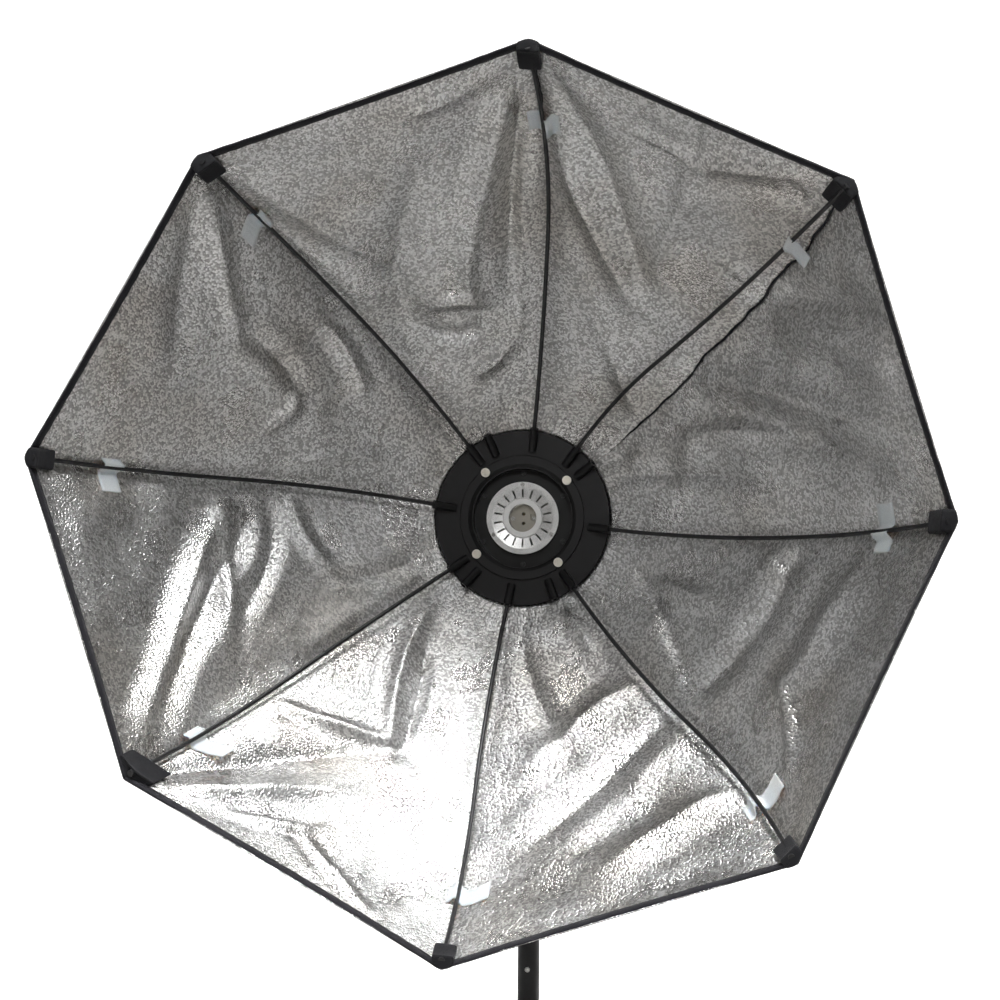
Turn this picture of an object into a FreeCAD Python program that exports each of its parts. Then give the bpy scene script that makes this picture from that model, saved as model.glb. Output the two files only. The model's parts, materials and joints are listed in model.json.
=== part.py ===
import FreeCAD, Part
import math
import os
from types import SimpleNamespace

import Sketcher
from FreeCAD import Placement, Rotation, Vector

# Studio softbox: an octagonal fabric reflector on a speed ring, carried by a vented lamp head,
# a tilting yoke and the top section of a light stand. Millimetres, +Z up, the open front of the
# softbox faces -Y. The origin is the centre of the stand tube's lower end.

os.makedirs("parts", exist_ok=True)
doc = FreeCAD.newDocument("StudioSoftbox")
sheet = doc.addObject("Spreadsheet::Sheet", "Sizes")


# ---------------------------------------------------------------- driving dimensions

DRIVING = (
    # stand
    ("axis_height", 560), ("tube_radius", 11), ("tube_wall", 1.2), ("tube_top", 378),
    ("rivet_height", 108), ("spigot_radius", 8), ("spigot_rise", 52), ("bushing_depth", 25),
    # yoke
    ("yoke_drop", 105), ("yoke_half_gap", 64), ("strap_thick", 3), ("strap_width", 30),
    ("receptacle_radius", 17), ("receptacle_height", 70), ("receptacle_bore_depth", 54),
    ("running_gap", 0.06), ("pivot_radius", 4), ("washer_radius", 13),
    ("knob_radius", 16), ("knob_height", 14), ("knob_neck", 5), ("clamp_knob_rise", 32),
    # lamp head, depths measured back from the front face of the speed ring plate
    ("plate_setback", 80), ("housing_radius", 58), ("housing_wall", 2),
    ("housing_front", 12.2), ("housing_back", 142), ("boss_radius", 12), ("boss_end", 61.4),
    ("journal_radius", 50.5), ("journal_wall", 1.3), ("flange_radius", 54.2),
    ("flange_front", 2.9), ("flange_thick", 3), ("bezel_floor", 10), ("bezel_screw_circle", 46),
    ("disc_radius", 36.25), ("disc_front", 4), ("disc_thick", 1.2), ("disc_flat_inner", 31),
    ("disc_dish_inner", 17), ("disc_dish_depth", 2), ("slot_inner", 21), ("slot_outer", 29),
    ("slot_width", 1.7), ("slot_count", 18), ("disc_screw_circle", 33.5),
    ("collar_radius", 20), ("collar_bore", 14), ("collar_front", 3.3), ("collar_back", 30),
    ("base_front", 13.5), ("base_back", 33), ("pin_spacing", 9.5), ("pin_hole_radius", 1.65),
    ("base_screw_offset", 10.8), ("carrier_radius", 35), ("carrier_thick", 2),
    ("cover_thick", 3), ("switch_rise", 19.5), ("inlet_drop", 19),
    # speed ring
    ("ring_turn", 8.4), ("plate_radius", 87.5), ("plate_thick", 2.5), ("ridge_outer", 62.5),
    ("ridge_inner", 54), ("ridge_rise", 2.5), ("screw_circle", 58), ("screw_turn", 42.4),
    ("screw_head_radius", 4.5), ("screw_head_rise", 2.6), ("screw_shank_radius", 2),
    ("retainer_radius", 66), ("retainer_lip_bore", 52.3), ("socket_start", 68), ("socket_mouth", 89),
    ("socket_tilt", 24.4), ("socket_radius", 4.2), ("socket_bore", 2.15), ("socket_sink", 1.2),
    ("box_socket_turn", 31.2),
    # softbox
    ("rim_sides", 8), ("rim_radius", 400), ("softbox_depth", 280), ("rim_lag", -3.6),
    ("fabric_start", 97.5), ("fabric_bulge", 32), ("panel_thick", 2), ("seam_gap", 1.5),
    ("rod_radius", 2), ("rod_mid_inset", 8), ("rod_tip_inset", 6.2), ("rod_tip_stop", 4),
    ("pocket_width", 22), ("pocket_length", 24), ("tie_width", 14), ("tie_length", 38),
    ("tie_from_tip", 80), ("binding_thick", 4), ("binding_gap", 2.5),
)


class Size:
    """A dimension: its present value, and the spreadsheet expression that gives it."""

    def __init__(self, value, text):
        self.value = float(value)
        self.text = text

    def __add__(self, other):
        other = as_size(other)
        return Size(self.value + other.value, f"({self.text} + {other.text})")

    def __sub__(self, other):
        other = as_size(other)
        return Size(self.value - other.value, f"({self.text} - {other.text})")

    def __mul__(self, other):
        other = as_size(other)
        return Size(self.value * other.value, f"({self.text} * {other.text})")

    def __truediv__(self, other):
        other = as_size(other)
        return Size(self.value / other.value, f"({self.text} / {other.text})")

    def __neg__(self):
        return Size(-self.value, f"(-1 * {self.text})")


def as_size(number):
    return number if isinstance(number, Size) else Size(number, f"({float(number)})")


def sine(turn):
    turn = as_size(turn)
    return Size(math.sin(math.radians(turn.value)), f"sin({turn.text})")


def cosine(turn):
    turn = as_size(turn)
    return Size(math.cos(math.radians(turn.value)), f"cos({turn.text})")


for row, (name, number) in enumerate(DRIVING, start=1):
    sheet.set(f"A{row}", str(number))
    sheet.setAlias(f"A{row}", name)
doc.recompute()
s = SimpleNamespace(**{name: Size(sheet.get(name), f"Sizes.{name}") for name, number in DRIVING})

CORNERS = ("top", "upper_right", "right", "lower_right", "bottom", "lower_left", "left", "upper_left")
# A used softbox isn't quite regular: how far each corner is turned and pushed out of the octagon,
# and how far each spring rod bows sideways, clockwise as seen from the front.
CORNER_TURN = (0.5, 0.5, -0.6, -0.1, -0.3, 1.4, -0.5, -0.7)
CORNER_OUT = (-6, 6, -6, 4, 2, -3, 9, -6)
ROD_BOW = (11, -8, 7, -3, 3, 1, 4, 5)
ROD_BOW_AT = (0.5, 0.3, 0.5, 0.5, 0.5, 0.5, 0.5, 0.5)      # where along the rod, from socket to tip
PANELS = ("panel_top_right", "panel_right_upper", "panel_right_lower", "panel_bottom_right",
          "panel_bottom_left", "panel_left_lower", "panel_left_upper", "panel_top_left")
ROD_CLEARANCE_SLOPE = 0.5       # inward room per millimetre that a rod lies beside its corner
BINDING_REACH = (0.987, 1.0)    # from ring (0) to rim (1) along the fabric
PANEL_REACH = 0.985
MISPLUGGED = "upper_right"      # this corner's rod sits in a socket of the four-rod pattern

nodes = []                      # the finished sub-parts, in the order they are made


# ---------------------------------------------------------------- building helpers

def keep(obj, label):
    obj.Label = label
    nodes.append(obj)
    return obj


def bind(obj, prop, size):
    obj.setExpression(prop, as_size(size).text)


def place(obj, at=(0, 0, 0), rotation=None):
    """Put an object's own origin at a point, each coordinate bound to the spreadsheet."""
    coordinates = [as_size(value) for value in at]
    point = Vector(*[c.value for c in coordinates])
    obj.Placement = Placement(point, rotation or Rotation())
    for axis, c in zip("xyz", coordinates):
        obj.setExpression(f"Placement.Base.{axis}", c.text)
    return obj


def pointing(direction):
    """The rotation that turns +Z to a direction."""
    return Rotation(Vector(0, 0, 1), Vector(*direction))


def sketch_on(body, role):
    plane = next(f for f in body.Origin.OriginFeatures if f.Role == role)
    sketch = body.newObject("Sketcher::SketchObject", "sketch")
    sketch.AttachmentSupport = (plane, [""])
    sketch.MapMode = "FlatFace"
    return sketch


def fix_point(sketch, geometry, end, u, v):
    for kind, size in (("DistanceX", as_size(u)), ("DistanceY", as_size(v))):
        number = sketch.addConstraint(Sketcher.Constraint(kind, -1, 1, geometry, end, size.value))
        sketch.setExpression(f"Constraints[{number}]", size.text)


def draw_outline(sketch, points):
    """A closed outline of straight lines whose corners are bound to the spreadsheet."""
    flat = [Vector(as_size(u).value, as_size(v).value, 0) for u, v in points]
    first = sketch.GeometryCount
    count = len(flat)
    for i in range(count):
        sketch.addGeometry(Part.LineSegment(flat[i], flat[(i + 1) % count]))
    for i in range(count):
        after = first + (i + 1) % count
        sketch.addConstraint(Sketcher.Constraint("Coincident", first + i, 2, after, 1))
    for i, (u, v) in enumerate(points):
        fix_point(sketch, first + i, 1, u, v)


def draw_circle(sketch, u, v, radius):
    radius = as_size(radius)
    centre = Vector(as_size(u).value, as_size(v).value, 0)
    circle = sketch.addGeometry(Part.Circle(centre, Vector(0, 0, 1), radius.value))
    fix_point(sketch, circle, 3, u, v)
    number = sketch.addConstraint(Sketcher.Constraint("Radius", circle, radius.value))
    sketch.setExpression(f"Constraints[{number}]", radius.text)


def turned(name, role, points):
    """A body turned about its sketch's vertical axis from an outline of (radius, along) points."""
    body = doc.addObject("PartDesign::Body", name)
    sketch = sketch_on(body, role)
    draw_outline(sketch, points)
    doc.recompute()
    turn = body.newObject("PartDesign::Revolution", "turn")
    turn.Profile = sketch
    turn.ReferenceAxis = (sketch, ["V_Axis"])
    turn.Angle = 360
    doc.recompute()
    return body


def extruded(name, role, points, length):
    """A body padded to both sides of its sketch's plane."""
    body = doc.addObject("PartDesign::Body", name)
    sketch = sketch_on(body, role)
    draw_outline(sketch, points)
    doc.recompute()
    pad = body.newObject("PartDesign::Pad", "pad")
    pad.Profile = sketch
    pad.Midplane = True
    bind(pad, "Length", length)
    doc.recompute()
    return body


def pierce(body, role, shapes, count=1, sweep=360, axis="N_Axis"):
    """Cut outlines and circles right through a body, repeated round an axis of their sketch."""
    before = body.Shape.Volume
    sketch = sketch_on(body, role)
    for shape in shapes:
        if len(shape) == 3:
            draw_circle(sketch, *shape)
        else:
            draw_outline(sketch, shape)
    doc.recompute()
    pocket = body.newObject("PartDesign::Pocket", "cut")
    pocket.Profile = sketch
    pocket.Type = "ThroughAll"
    pocket.Midplane = True
    doc.recompute()
    assert body.Shape.Volume < before - 0.01, f"{body.Name}: a cut took nothing away"
    if count > 1:
        pattern = body.newObject("PartDesign::PolarPattern", "around")
        pattern.Originals = [pocket]
        pattern.Axis = (sketch, [axis])
        pattern.Angle = sweep
        pattern.Occurrences = count
        body.Tip = pattern
        doc.recompute()


def round_edges(body, radius, wanted):
    """Fillet the edges of a body whose middle point and direction satisfy a test."""
    shape, last = body.Shape, body.Tip
    chosen = []
    for number, edge in enumerate(shape.Edges, start=1):
        ends = edge.lastVertex().Point - edge.firstVertex().Point
        if ends.Length > 0.1 and wanted(edge.CenterOfMass, ends.normalize()):
            chosen.append(f"Edge{number}")
    fillet = body.newObject("PartDesign::Fillet", "rounded")
    fillet.Base = (last, chosen)
    fillet.Radius = radius
    doc.recompute()


def box(name, low, high):
    """A box between two corners."""
    solid = doc.addObject("Part::Box", name)
    for prop, a, b in zip(("Length", "Width", "Height"), low, high):
        bind(solid, prop, as_size(b) - a)
    return place(solid, low)


def rod(name, radius, length, at, direction):
    """A cylinder from a point along a direction."""
    solid = doc.addObject("Part::Cylinder", name)
    bind(solid, "Radius", radius)
    bind(solid, "Height", length)
    return place(solid, at, pointing(direction))


def fuse(name, solids):
    union = doc.addObject("Part::MultiFuse", name)
    union.Shapes = solids
    return union


def cut(name, base, tools):
    difference = doc.addObject("Part::Cut", name)
    difference.Base = base
    difference.Tool = tools[0] if len(tools) == 1 else fuse(name + "_tools", tools)
    return difference


def group(name, solids):
    bundle = doc.addObject("Part::Compound", name)
    bundle.Links = solids
    return bundle


def pan_screw(name, at, direction, head_radius, head_rise, shank_radius, shank_length):
    """A pan-head screw with a cross recess: its head sits on the point and the shank goes on."""
    way = Vector(*direction)
    back = -way
    across = Vector(0, 0, 1) if abs(way.z) < 0.5 else Vector(1, 0, 0)
    sideways = way.cross(across)
    place_at = [as_size(value) for value in at]
    head = rod(name + "_head", head_radius, head_rise, place_at, back)
    shank = rod(name + "_shank", shank_radius, shank_length, place_at, way)
    bars = []
    for number, along in enumerate((across, sideways)):
        bar = doc.addObject("Part::Box", f"{name}_recess{number}")
        bind(bar, "Length", as_size(head_radius) * 1.1)
        bind(bar, "Width", as_size(head_radius) * 0.24)
        bind(bar, "Height", as_size(head_rise) * 0.6)
        other = back.cross(along)
        frame = Rotation(along, other, back, "ZXY")
        depth = as_size(head_rise) * 0.5
        start = [c + depth * float(b) for c, b in zip(place_at, back)]
        length, width = as_size(head_radius) * 0.55, as_size(head_radius) * 0.12
        corner = [c - length * float(a) - width * float(o) for c, a, o in zip(start, along, other)]
        bars.append(place(bar, corner, frame))
    return cut(name, fuse(name + "_body", [head, shank]), bars)


def lobed_knob(name, stud_length):
    """A hand knob with eight flutes on a threaded stud; its axis is +Z, its seat at the origin."""
    body = turned(name, "XZ_Plane", [
        (0, -as_size(stud_length)), (s.pivot_radius, -as_size(stud_length)), (s.pivot_radius, 0),
        (s.knob_radius * 0.55, 0), (s.knob_radius * 0.55, s.knob_neck),
        (s.knob_radius - 1, s.knob_neck), (s.knob_radius, s.knob_neck + 1),
        (s.knob_radius, s.knob_neck + s.knob_height - 2),
        (s.knob_radius - 2, s.knob_neck + s.knob_height), (0, s.knob_neck + s.knob_height)])
    pierce(body, "XY_Plane", [(s.knob_radius + 1.8, 0, 3.6)], count=8)
    return body


def on_clock(radius, turn):
    """x and z at a radius, turned clockwise from the top as seen from the front."""
    return as_size(radius) * sine(turn), as_size(radius) * cosine(turn)


# ---------------------------------------------------------------- stand top section

def make_stand():
    inside = s.tube_radius - s.tube_wall
    tube = turned("stand_tube_body", "XZ_Plane", [
        (inside, 0), (s.tube_radius, 0), (s.tube_radius, s.tube_top), (inside, s.tube_top)])
    rivet_at = (0, -s.tube_radius, s.rivet_height)
    hole = rod("rivet_hole", 1.65, s.tube_wall * 3, (0, -s.tube_radius - 1, s.rivet_height), (0, 1, 0))
    keep(cut("stand_tube_drilled", tube, [hole]), "stand_tube")
    rivet_head = doc.addObject("Part::Cone", "rivet_head")
    rivet_head.Radius1 = 2.6
    rivet_head.Radius2 = 1.4
    rivet_head.Height = 1.1
    place(rivet_head, rivet_at, pointing((0, -1, 0)))
    shank = rod("rivet_shank", 1.6, 2.6, rivet_at, (0, 1, 0))
    keep(fuse("rivet", [rivet_head, shank]), "tube_rivet")

    keep(turned("bushing", "XZ_Plane", [
        (6, 0), (inside, 0), (inside, s.bushing_depth), (6, s.bushing_depth)]), "tube_end_bushing")

    collar_top = s.tube_top + 3.85
    tip = s.axis_height - s.yoke_drop - s.strap_thick - s.receptacle_height + s.spigot_rise
    groove = collar_top + 24
    spigot = turned("spigot", "XZ_Plane", [
        (0, s.tube_top - 40), (inside, s.tube_top - 40), (inside, s.tube_top),
        (s.tube_radius + 1.5, s.tube_top), (s.tube_radius + 1.5, collar_top), (s.spigot_radius, collar_top),
        (s.spigot_radius, groove), (s.spigot_radius - 1, groove + 1),
        (s.spigot_radius - 1, groove + 14), (s.spigot_radius, groove + 15),
        (s.spigot_radius, tip - 1), (s.spigot_radius - 1, tip), (0, tip)])
    keep(spigot, "stand_spigot")


# ---------------------------------------------------------------- yoke

def make_yoke():
    base_top = s.axis_height - s.yoke_drop
    base_bottom = base_top - s.strap_thick
    foot = base_bottom - s.receptacle_height
    hole = s.pivot_radius + s.running_gap

    socket = turned("receptacle", "XZ_Plane", [
        (s.spigot_radius + s.running_gap, 0), (s.receptacle_radius - 1, 0), (s.receptacle_radius, 1),
        (s.receptacle_radius, s.receptacle_height), (hole, s.receptacle_height),
        (hole, s.receptacle_bore_depth), (s.spigot_radius + s.running_gap, s.receptacle_bore_depth)])
    place(socket, (0, 0, foot))
    knob_height = foot + s.clamp_knob_rise
    knob_hole = rod("clamp_hole", hole, s.receptacle_radius, (5, 0, knob_height), (1, 0, 0))
    keep(cut("receptacle_drilled", socket, [knob_hole]), "stand_receptacle")

    outside = s.yoke_half_gap + s.strap_thick
    arm_top = s.strap_width / 2 + 3
    strap = extruded("strap", "XZ_Plane", [
        (-outside, -s.yoke_drop - s.strap_thick), (outside, -s.yoke_drop - s.strap_thick),
        (outside, arm_top), (s.yoke_half_gap, arm_top), (s.yoke_half_gap, -s.yoke_drop),
        (-s.yoke_half_gap, -s.yoke_drop), (-s.yoke_half_gap, arm_top), (-outside, arm_top)],
        s.strap_width)
    top, bottom = arm_top.value, -(s.yoke_drop + s.strap_thick).value
    round_edges(strap, 14, lambda at, way: abs(way.x) > 0.9 and abs(at.z - top) < 0.1)
    round_edges(strap, 5, lambda at, way: abs(way.y) > 0.9 and abs(at.z - bottom) > 2.9
                and abs(at.z - bottom) < 3.1)
    round_edges(strap, 8, lambda at, way: abs(way.y) > 0.9 and abs(at.z - bottom) < 0.1)
    place(strap, (0, 0, s.axis_height))
    arms = rod("arm_holes", hole, outside * 2 + 2, (-outside - 1, 0, s.axis_height), (1, 0, 0))
    seat = rod("base_hole", hole, 10, (0, 0, base_top - 5), (0, 0, 1))
    keep(cut("strap_drilled", strap, [arms, seat]), "yoke")

    bolt = pan_screw("base_bolt", (0, 0, base_top), (0, 0, -1), 7, 4.5, s.pivot_radius, 15)
    keep(bolt, "yoke_bolt")

    washers = []
    for side, name in ((1, "right"), (-1, "left")):
        ring = turned(f"washer_{name}", "XZ_Plane", [
            (hole, 0), (s.washer_radius, 0), (s.washer_radius, 2.2), (hole, 2.2)])
        x = side * (s.yoke_half_gap - 0.1).value
        washers.append(place(ring, (x, 0, s.axis_height), pointing((-side, 0, 0))))
    keep(group("washers", washers), "pivot_washers")

    clamp = lobed_knob("clamp_knob", 9)
    place(clamp, (s.receptacle_radius + 0.6, 0, knob_height), pointing((1, 0, 0)))
    keep(clamp, "stand_clamp_knob")
    lock = lobed_knob("lock_knob", 13.4)
    place(lock, (outside + 0.4, 0, s.axis_height), pointing((1, 0, 0)))
    keep(lock, "tilt_lock_knob")


# ---------------------------------------------------------------- lamp head

def head_at(x=0, y=0, z=0):
    """A point given from the centre of the speed ring plate's front face."""
    return x, as_size(y) - s.plate_setback, as_size(z) + s.axis_height


def cover_screw_holes(name):
    """Four radial holes through the housing's rear end and the cover's skirt."""
    holes = []
    for number in range(4):
        turn = 45 + 90 * number
        x, z = on_clock(s.housing_radius + 1, turn)
        inward = (-sine(turn).value, 0, -cosine(turn).value)
        holes.append(rod(f"{name}_screw_hole{number}", 1.55, 8, head_at(x, s.housing_back - 4, z), inward))
    return holes


def make_housing():
    inside = s.housing_radius - s.housing_wall
    hole = s.pivot_radius + s.running_gap
    tube = turned("housing_tube", "XY_Plane", [
        (38, s.housing_front), (s.housing_radius, s.housing_front),
        (s.housing_radius, s.housing_back), (inside, s.housing_back),
        (inside, s.housing_front + 2.8), (38, s.housing_front + 2.8)])
    # eighteen cooling slots behind the pivot, each cut through both sides at once
    slot = [(-2, 100), (2, 100), (2, 130), (-2, 130)]
    pierce(tube, "XY_Plane", [slot], count=9, sweep=160, axis="V_Axis")
    pierce(tube, "XZ_Plane", [(0, s.bezel_screw_circle, 1.55)], count=6)
    place(tube, head_at())
    bosses, holes = [], []
    for side in (1, -1):
        start = side * 50
        at = (start, 0, s.axis_height)
        bosses.append(rod(f"boss{side}", s.boss_radius, s.boss_end - 50, at, (side, 0, 0)))
        holes.append(rod(f"boss_hole{side}", hole, 20, (start - side, 0, s.axis_height), (side, 0, 0)))
    holes += cover_screw_holes("housing")
    keep(cut("housing", fuse("housing_body", [tube] + bosses), holes), "lamp_housing")

    keep(pan_screw("pivot_bolt", (-(s.yoke_half_gap + s.strap_thick + 0.4), 0, s.axis_height),
                   (1, 0, 0), 7, 4, s.pivot_radius, 13.4), "pivot_screw")


def make_bezel():
    tube_inside = s.journal_radius - s.journal_wall
    flange_back = s.flange_front + s.flange_thick
    back = s.bezel_floor + 2
    seat = s.disc_front + s.disc_thick
    bezel = turned("bezel", "XY_Plane", [
        (tube_inside, -1), (s.journal_radius, -1), (s.journal_radius, s.flange_front),
        (s.flange_radius, s.flange_front), (s.flange_radius, flange_back),
        (s.journal_radius, flange_back), (s.journal_radius, back), (s.disc_flat_inner + 0.6, back),
        (s.disc_flat_inner + 0.6, seat), (s.disc_radius - 0.25, seat),
        (s.disc_radius - 0.25, s.bezel_floor), (tube_inside, s.bezel_floor)])
    pierce(bezel, "XZ_Plane", [(0, s.bezel_screw_circle, 1.55)], count=6)
    pierce(bezel, "XZ_Plane", [(0, s.disc_screw_circle, 1.25)], count=3)
    keep(place(bezel, head_at()), "front_bezel")
    screws = []
    for number in range(6):
        x, z = on_clock(s.bezel_screw_circle, 60 * number)
        at = head_at(x, s.bezel_floor, z)
        screws.append(pan_screw(f"bezel_screw{number}", at, (0, 1, 0), 2.7, 1.9, 1.5, 8))
    keep(group("bezel_screw_set", screws), "bezel_screws")


def make_disc():
    edge = s.disc_front + s.disc_thick
    deep = s.disc_front + s.disc_dish_depth
    disc = turned("disc", "XY_Plane", [
        (s.disc_dish_inner, deep), (s.disc_flat_inner, s.disc_front), (s.disc_radius, s.disc_front),
        (s.disc_radius, edge), (s.disc_flat_inner + 0.3, edge), (s.disc_dish_inner, deep + 1.3)])
    half = s.slot_width / 2
    slot = [(-half, s.slot_inner), (half, s.slot_inner), (half, s.slot_outer), (-half, s.slot_outer)]
    pierce(disc, "XZ_Plane", [slot], count=int(s.slot_count.value))
    pierce(disc, "XZ_Plane", [(0, s.disc_screw_circle, 1.25)], count=3)
    keep(place(disc, head_at()), "vented_disc")
    screws = []
    for number in range(3):
        x, z = on_clock(s.disc_screw_circle, 120 * number)
        at = head_at(x, s.disc_front, z)
        screws.append(pan_screw(f"disc_screw{number}", at, (0, 1, 0), 2.1, 1.4, 1.2, 6))
    keep(group("disc_screw_set", screws), "disc_screws")


def make_lampholder():
    flange_back = s.collar_front + 2
    sleeve = s.disc_dish_inner - 0.2
    collar = turned("collar", "XY_Plane", [
        (s.collar_bore, s.collar_front), (s.collar_radius - 1, s.collar_front),
        (s.collar_radius, s.collar_front + 1), (s.collar_radius, flange_back), (sleeve, flange_back),
        (sleeve, s.collar_back), (s.collar_bore, s.collar_back)])
    keep(place(collar, head_at()), "ceramic_collar")

    pin_rise = s.pin_spacing / 2
    base = turned("base_body", "XY_Plane", [
        (0, s.base_front), (s.collar_bore - 0.2, s.base_front),
        (s.collar_bore - 0.2, s.base_back), (0, s.base_back)])
    place(base, head_at())
    tools = [box("key_slot", head_at(6.6, s.base_front - 1, -1.5), head_at(8.2, s.base_front + 2, 4.5))]
    contacts, screws = [], []
    for side in (1, -1):
        z = pin_rise * side
        at = head_at(0, s.base_front - 1, z)
        tools.append(rod(f"pin_hole{side}", s.pin_hole_radius, 10, at, (0, 1, 0)))
        tools.append(rod(f"contact_bay{side}", 3.3, 20, head_at(0, s.base_front + 5.5, z), (0, 1, 0)))
        x = s.base_screw_offset * side
        tools.append(rod(f"screw_hole{side}", 1.55, 30, head_at(x, s.base_front - 1, 0), (0, 1, 0)))
        contact = turned(f"contact{side}", "XY_Plane", [(1.7, 19.4), (3.0, 19.4), (3.0, 40), (1.7, 40)])
        contacts.append(place(contact, head_at(0, 0, z)))
        at = head_at(x, s.base_front, 0)
        screws.append(pan_screw(f"base_screw{side}", at, (0, 1, 0), 2.2, 1.5, 1.5, 23))
    keep(cut("base", base, tools), "lamp_base")
    keep(group("contact_pair", contacts), "pin_contacts")
    keep(group("base_screw_pair", screws), "base_screws")

    # a round plate on three posts carries the lamp base behind the bezel
    front = s.base_back + 0.2
    plate = turned("carrier_plate", "XY_Plane", [
        (0, front), (s.carrier_radius, front), (s.carrier_radius, front + s.carrier_thick),
        (0, front + s.carrier_thick)])
    pierce(plate, "XZ_Plane", [(0, pin_rise, 3.4), (0, -pin_rise, 3.4)])
    pierce(plate, "XZ_Plane", [(s.base_screw_offset, 0, 1.55), (-s.base_screw_offset, 0, 1.55)])
    place(plate, head_at())
    posts = []
    for number in range(3):
        x, z = on_clock(s.disc_screw_circle, 60 + 120 * number)
        reach = front - s.bezel_floor - 2
        posts.append(rod(f"post{number}", 2.4, reach, head_at(x, s.bezel_floor + 2, z), (0, 1, 0)))
    keep(fuse("carrier", [plate] + posts), "lamp_carrier")

    back = front + s.carrier_thick
    block = box("block", head_at(-13, back + 6, -9), head_at(13, back + 18, 9))
    feet = [rod(f"block_foot{side}", 2, 7, head_at(10 * side, back, 6), (0, 1, 0)) for side in (1, -1)]
    keep(fuse("terminals", [block] + feet), "terminal_block")


def make_rear():
    back = s.housing_back
    face = back + 0.2
    outer = face + s.cover_thick
    skirt = s.housing_radius - s.housing_wall - 0.3
    cover = turned("cover", "XY_Plane", [
        (0, face), (skirt - 2.2, face), (skirt - 2.2, back - 8), (skirt, back - 8), (skirt, face),
        (s.housing_radius, face), (s.housing_radius, outer - 1), (s.housing_radius - 1, outer), (0, outer)])
    vent = [(-1.25, 38), (1.25, 38), (1.25, 50), (-1.25, 50)]
    pierce(cover, "XZ_Plane", [vent], count=20)
    window = [(-6.5, s.switch_rise - 9.5), (6.5, s.switch_rise - 9.5),
              (6.5, s.switch_rise + 9.5), (-6.5, s.switch_rise + 9.5)]
    mouth = [(-13.7, -s.inlet_drop - 10.2), (13.7, -s.inlet_drop - 10.2),
             (13.7, -s.inlet_drop + 10.2), (-13.7, -s.inlet_drop + 10.2)]
    pierce(cover, "XZ_Plane", [window, mouth])
    place(cover, head_at())
    keep(cut("cover_drilled", cover, cover_screw_holes("cover")), "rear_cover")
    screws = []
    for number in range(4):
        turn = 45 + 90 * number
        x, z = on_clock(s.housing_radius, turn)
        inward = (-sine(turn).value, 0, -cosine(turn).value)
        at = head_at(x, back - 4, z)
        screws.append(rod(f"cover_screw_head{number}", 2.6, 1.6, at, [-v for v in inward]))
        screws.append(rod(f"cover_screw_shank{number}", 1.5, 4.5, at, inward))
    pairs = [fuse(f"cover_screw{i}", screws[2 * i:2 * i + 2]) for i in range(4)]
    keep(group("cover_screw_set", pairs), "cover_screws")

    def around(drop, half_x, half_z, y0, y1, name):
        """A box about a point on the rear cover."""
        drop = as_size(drop)
        return box(name, head_at(-half_x, y0, drop - half_z), head_at(half_x, y1, drop + half_z))

    flange = around(-s.inlet_drop, 17, 12.5, outer, outer + 3, "inlet_flange")
    shell = around(-s.inlet_drop, 13.5, 10, outer - 17, outer, "inlet_shell")
    cavity = around(-s.inlet_drop, 12.1, 8.1, outer - 12, outer + 4, "inlet_cavity")
    keep(cut("inlet", fuse("inlet_body", [flange, shell]), [cavity]), "mains_inlet")
    pins = []
    for number, (x, rise) in enumerate(((-7, -2), (0, 2), (7, -2))):
        low = head_at(x - 1, outer - 12, rise - 2 - s.inlet_drop.value)
        high = head_at(x + 1, outer - 2.2, rise + 2 - s.inlet_drop.value)
        pins.append(box(f"inlet_pin{number}", low, high))
    keep(group("inlet_pin_set", pins), "inlet_pins")

    rim = around(s.switch_rise, 8.5, 11.5, outer, outer + 1.8, "switch_rim")
    case = around(s.switch_rise, 6.3, 9.3, outer - 15, outer, "switch_case")
    bay = around(s.switch_rise, 5.2, 8.4, outer - 13, outer + 3, "switch_bay")
    keep(cut("switch", fuse("switch_body", [rim, case]), [bay]), "switch_frame")

    # the rocker: a drum about its pin, cut off by a sloping face
    drum = rod("rocker_drum", 8, 9.6, head_at(-4.8, outer - 4.2, s.switch_rise), (1, 0, 0))
    wedge = extruded("rocker_wedge", "YZ_Plane", [(-4, -9), (4.3, -9), (8.1, 9), (-4, 9)], 9.6)
    place(wedge, head_at(0, outer - 4.2, s.switch_rise))
    rocker = doc.addObject("Part::MultiCommon", "rocker")
    rocker.Shapes = [drum, wedge]
    keep(rocker, "switch_rocker")


# ---------------------------------------------------------------- curved members

def arc_through(start, direction, end):
    """The arc that leaves a point in a direction and ends at another, and its end direction."""
    chord = end - start
    unit = Vector(chord).normalize()
    side = direction - unit * direction.dot(unit)
    if side.Length < 1e-6:
        return Part.LineSegment(start, end).toShape(), unit
    angle = direction.getAngle(chord)
    middle = (start + end) * 0.5 + side.normalize() * (chord.Length / 2 * math.tan(angle / 2))
    leaving = unit * (2 * direction.dot(unit)) - direction
    return Part.Arc(start, middle, end).toShape(), leaving


def round_bar(points, radius):
    """A round bar: straight from the first point to the second, then tangent arcs."""
    direction = (points[1] - points[0]).normalize()
    edges = [Part.LineSegment(points[0], points[1]).toShape()]
    heading = direction
    for start, end in zip(points[1:], points[2:]):
        edge, heading = arc_through(start, heading, end)
        edges.append(edge)
    path = Part.Wire(edges)
    profile = Part.Wire([Part.makeCircle(radius, points[0], direction)])
    solid = path.makePipeShell([profile], True, False)
    expected = math.pi * radius ** 2 * path.Length
    assert abs(solid.Volume / expected - 1) < 0.01, "a swept bar has the wrong volume"
    return solid, heading


def feature(label, shape):
    """A sub-part whose shape is worked out here, in the frame of the speed ring plate."""
    obj = doc.addObject("Part::Feature", label + "_shape")
    obj.Shape = shape
    place(obj, head_at())
    return keep(obj, label)


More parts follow.
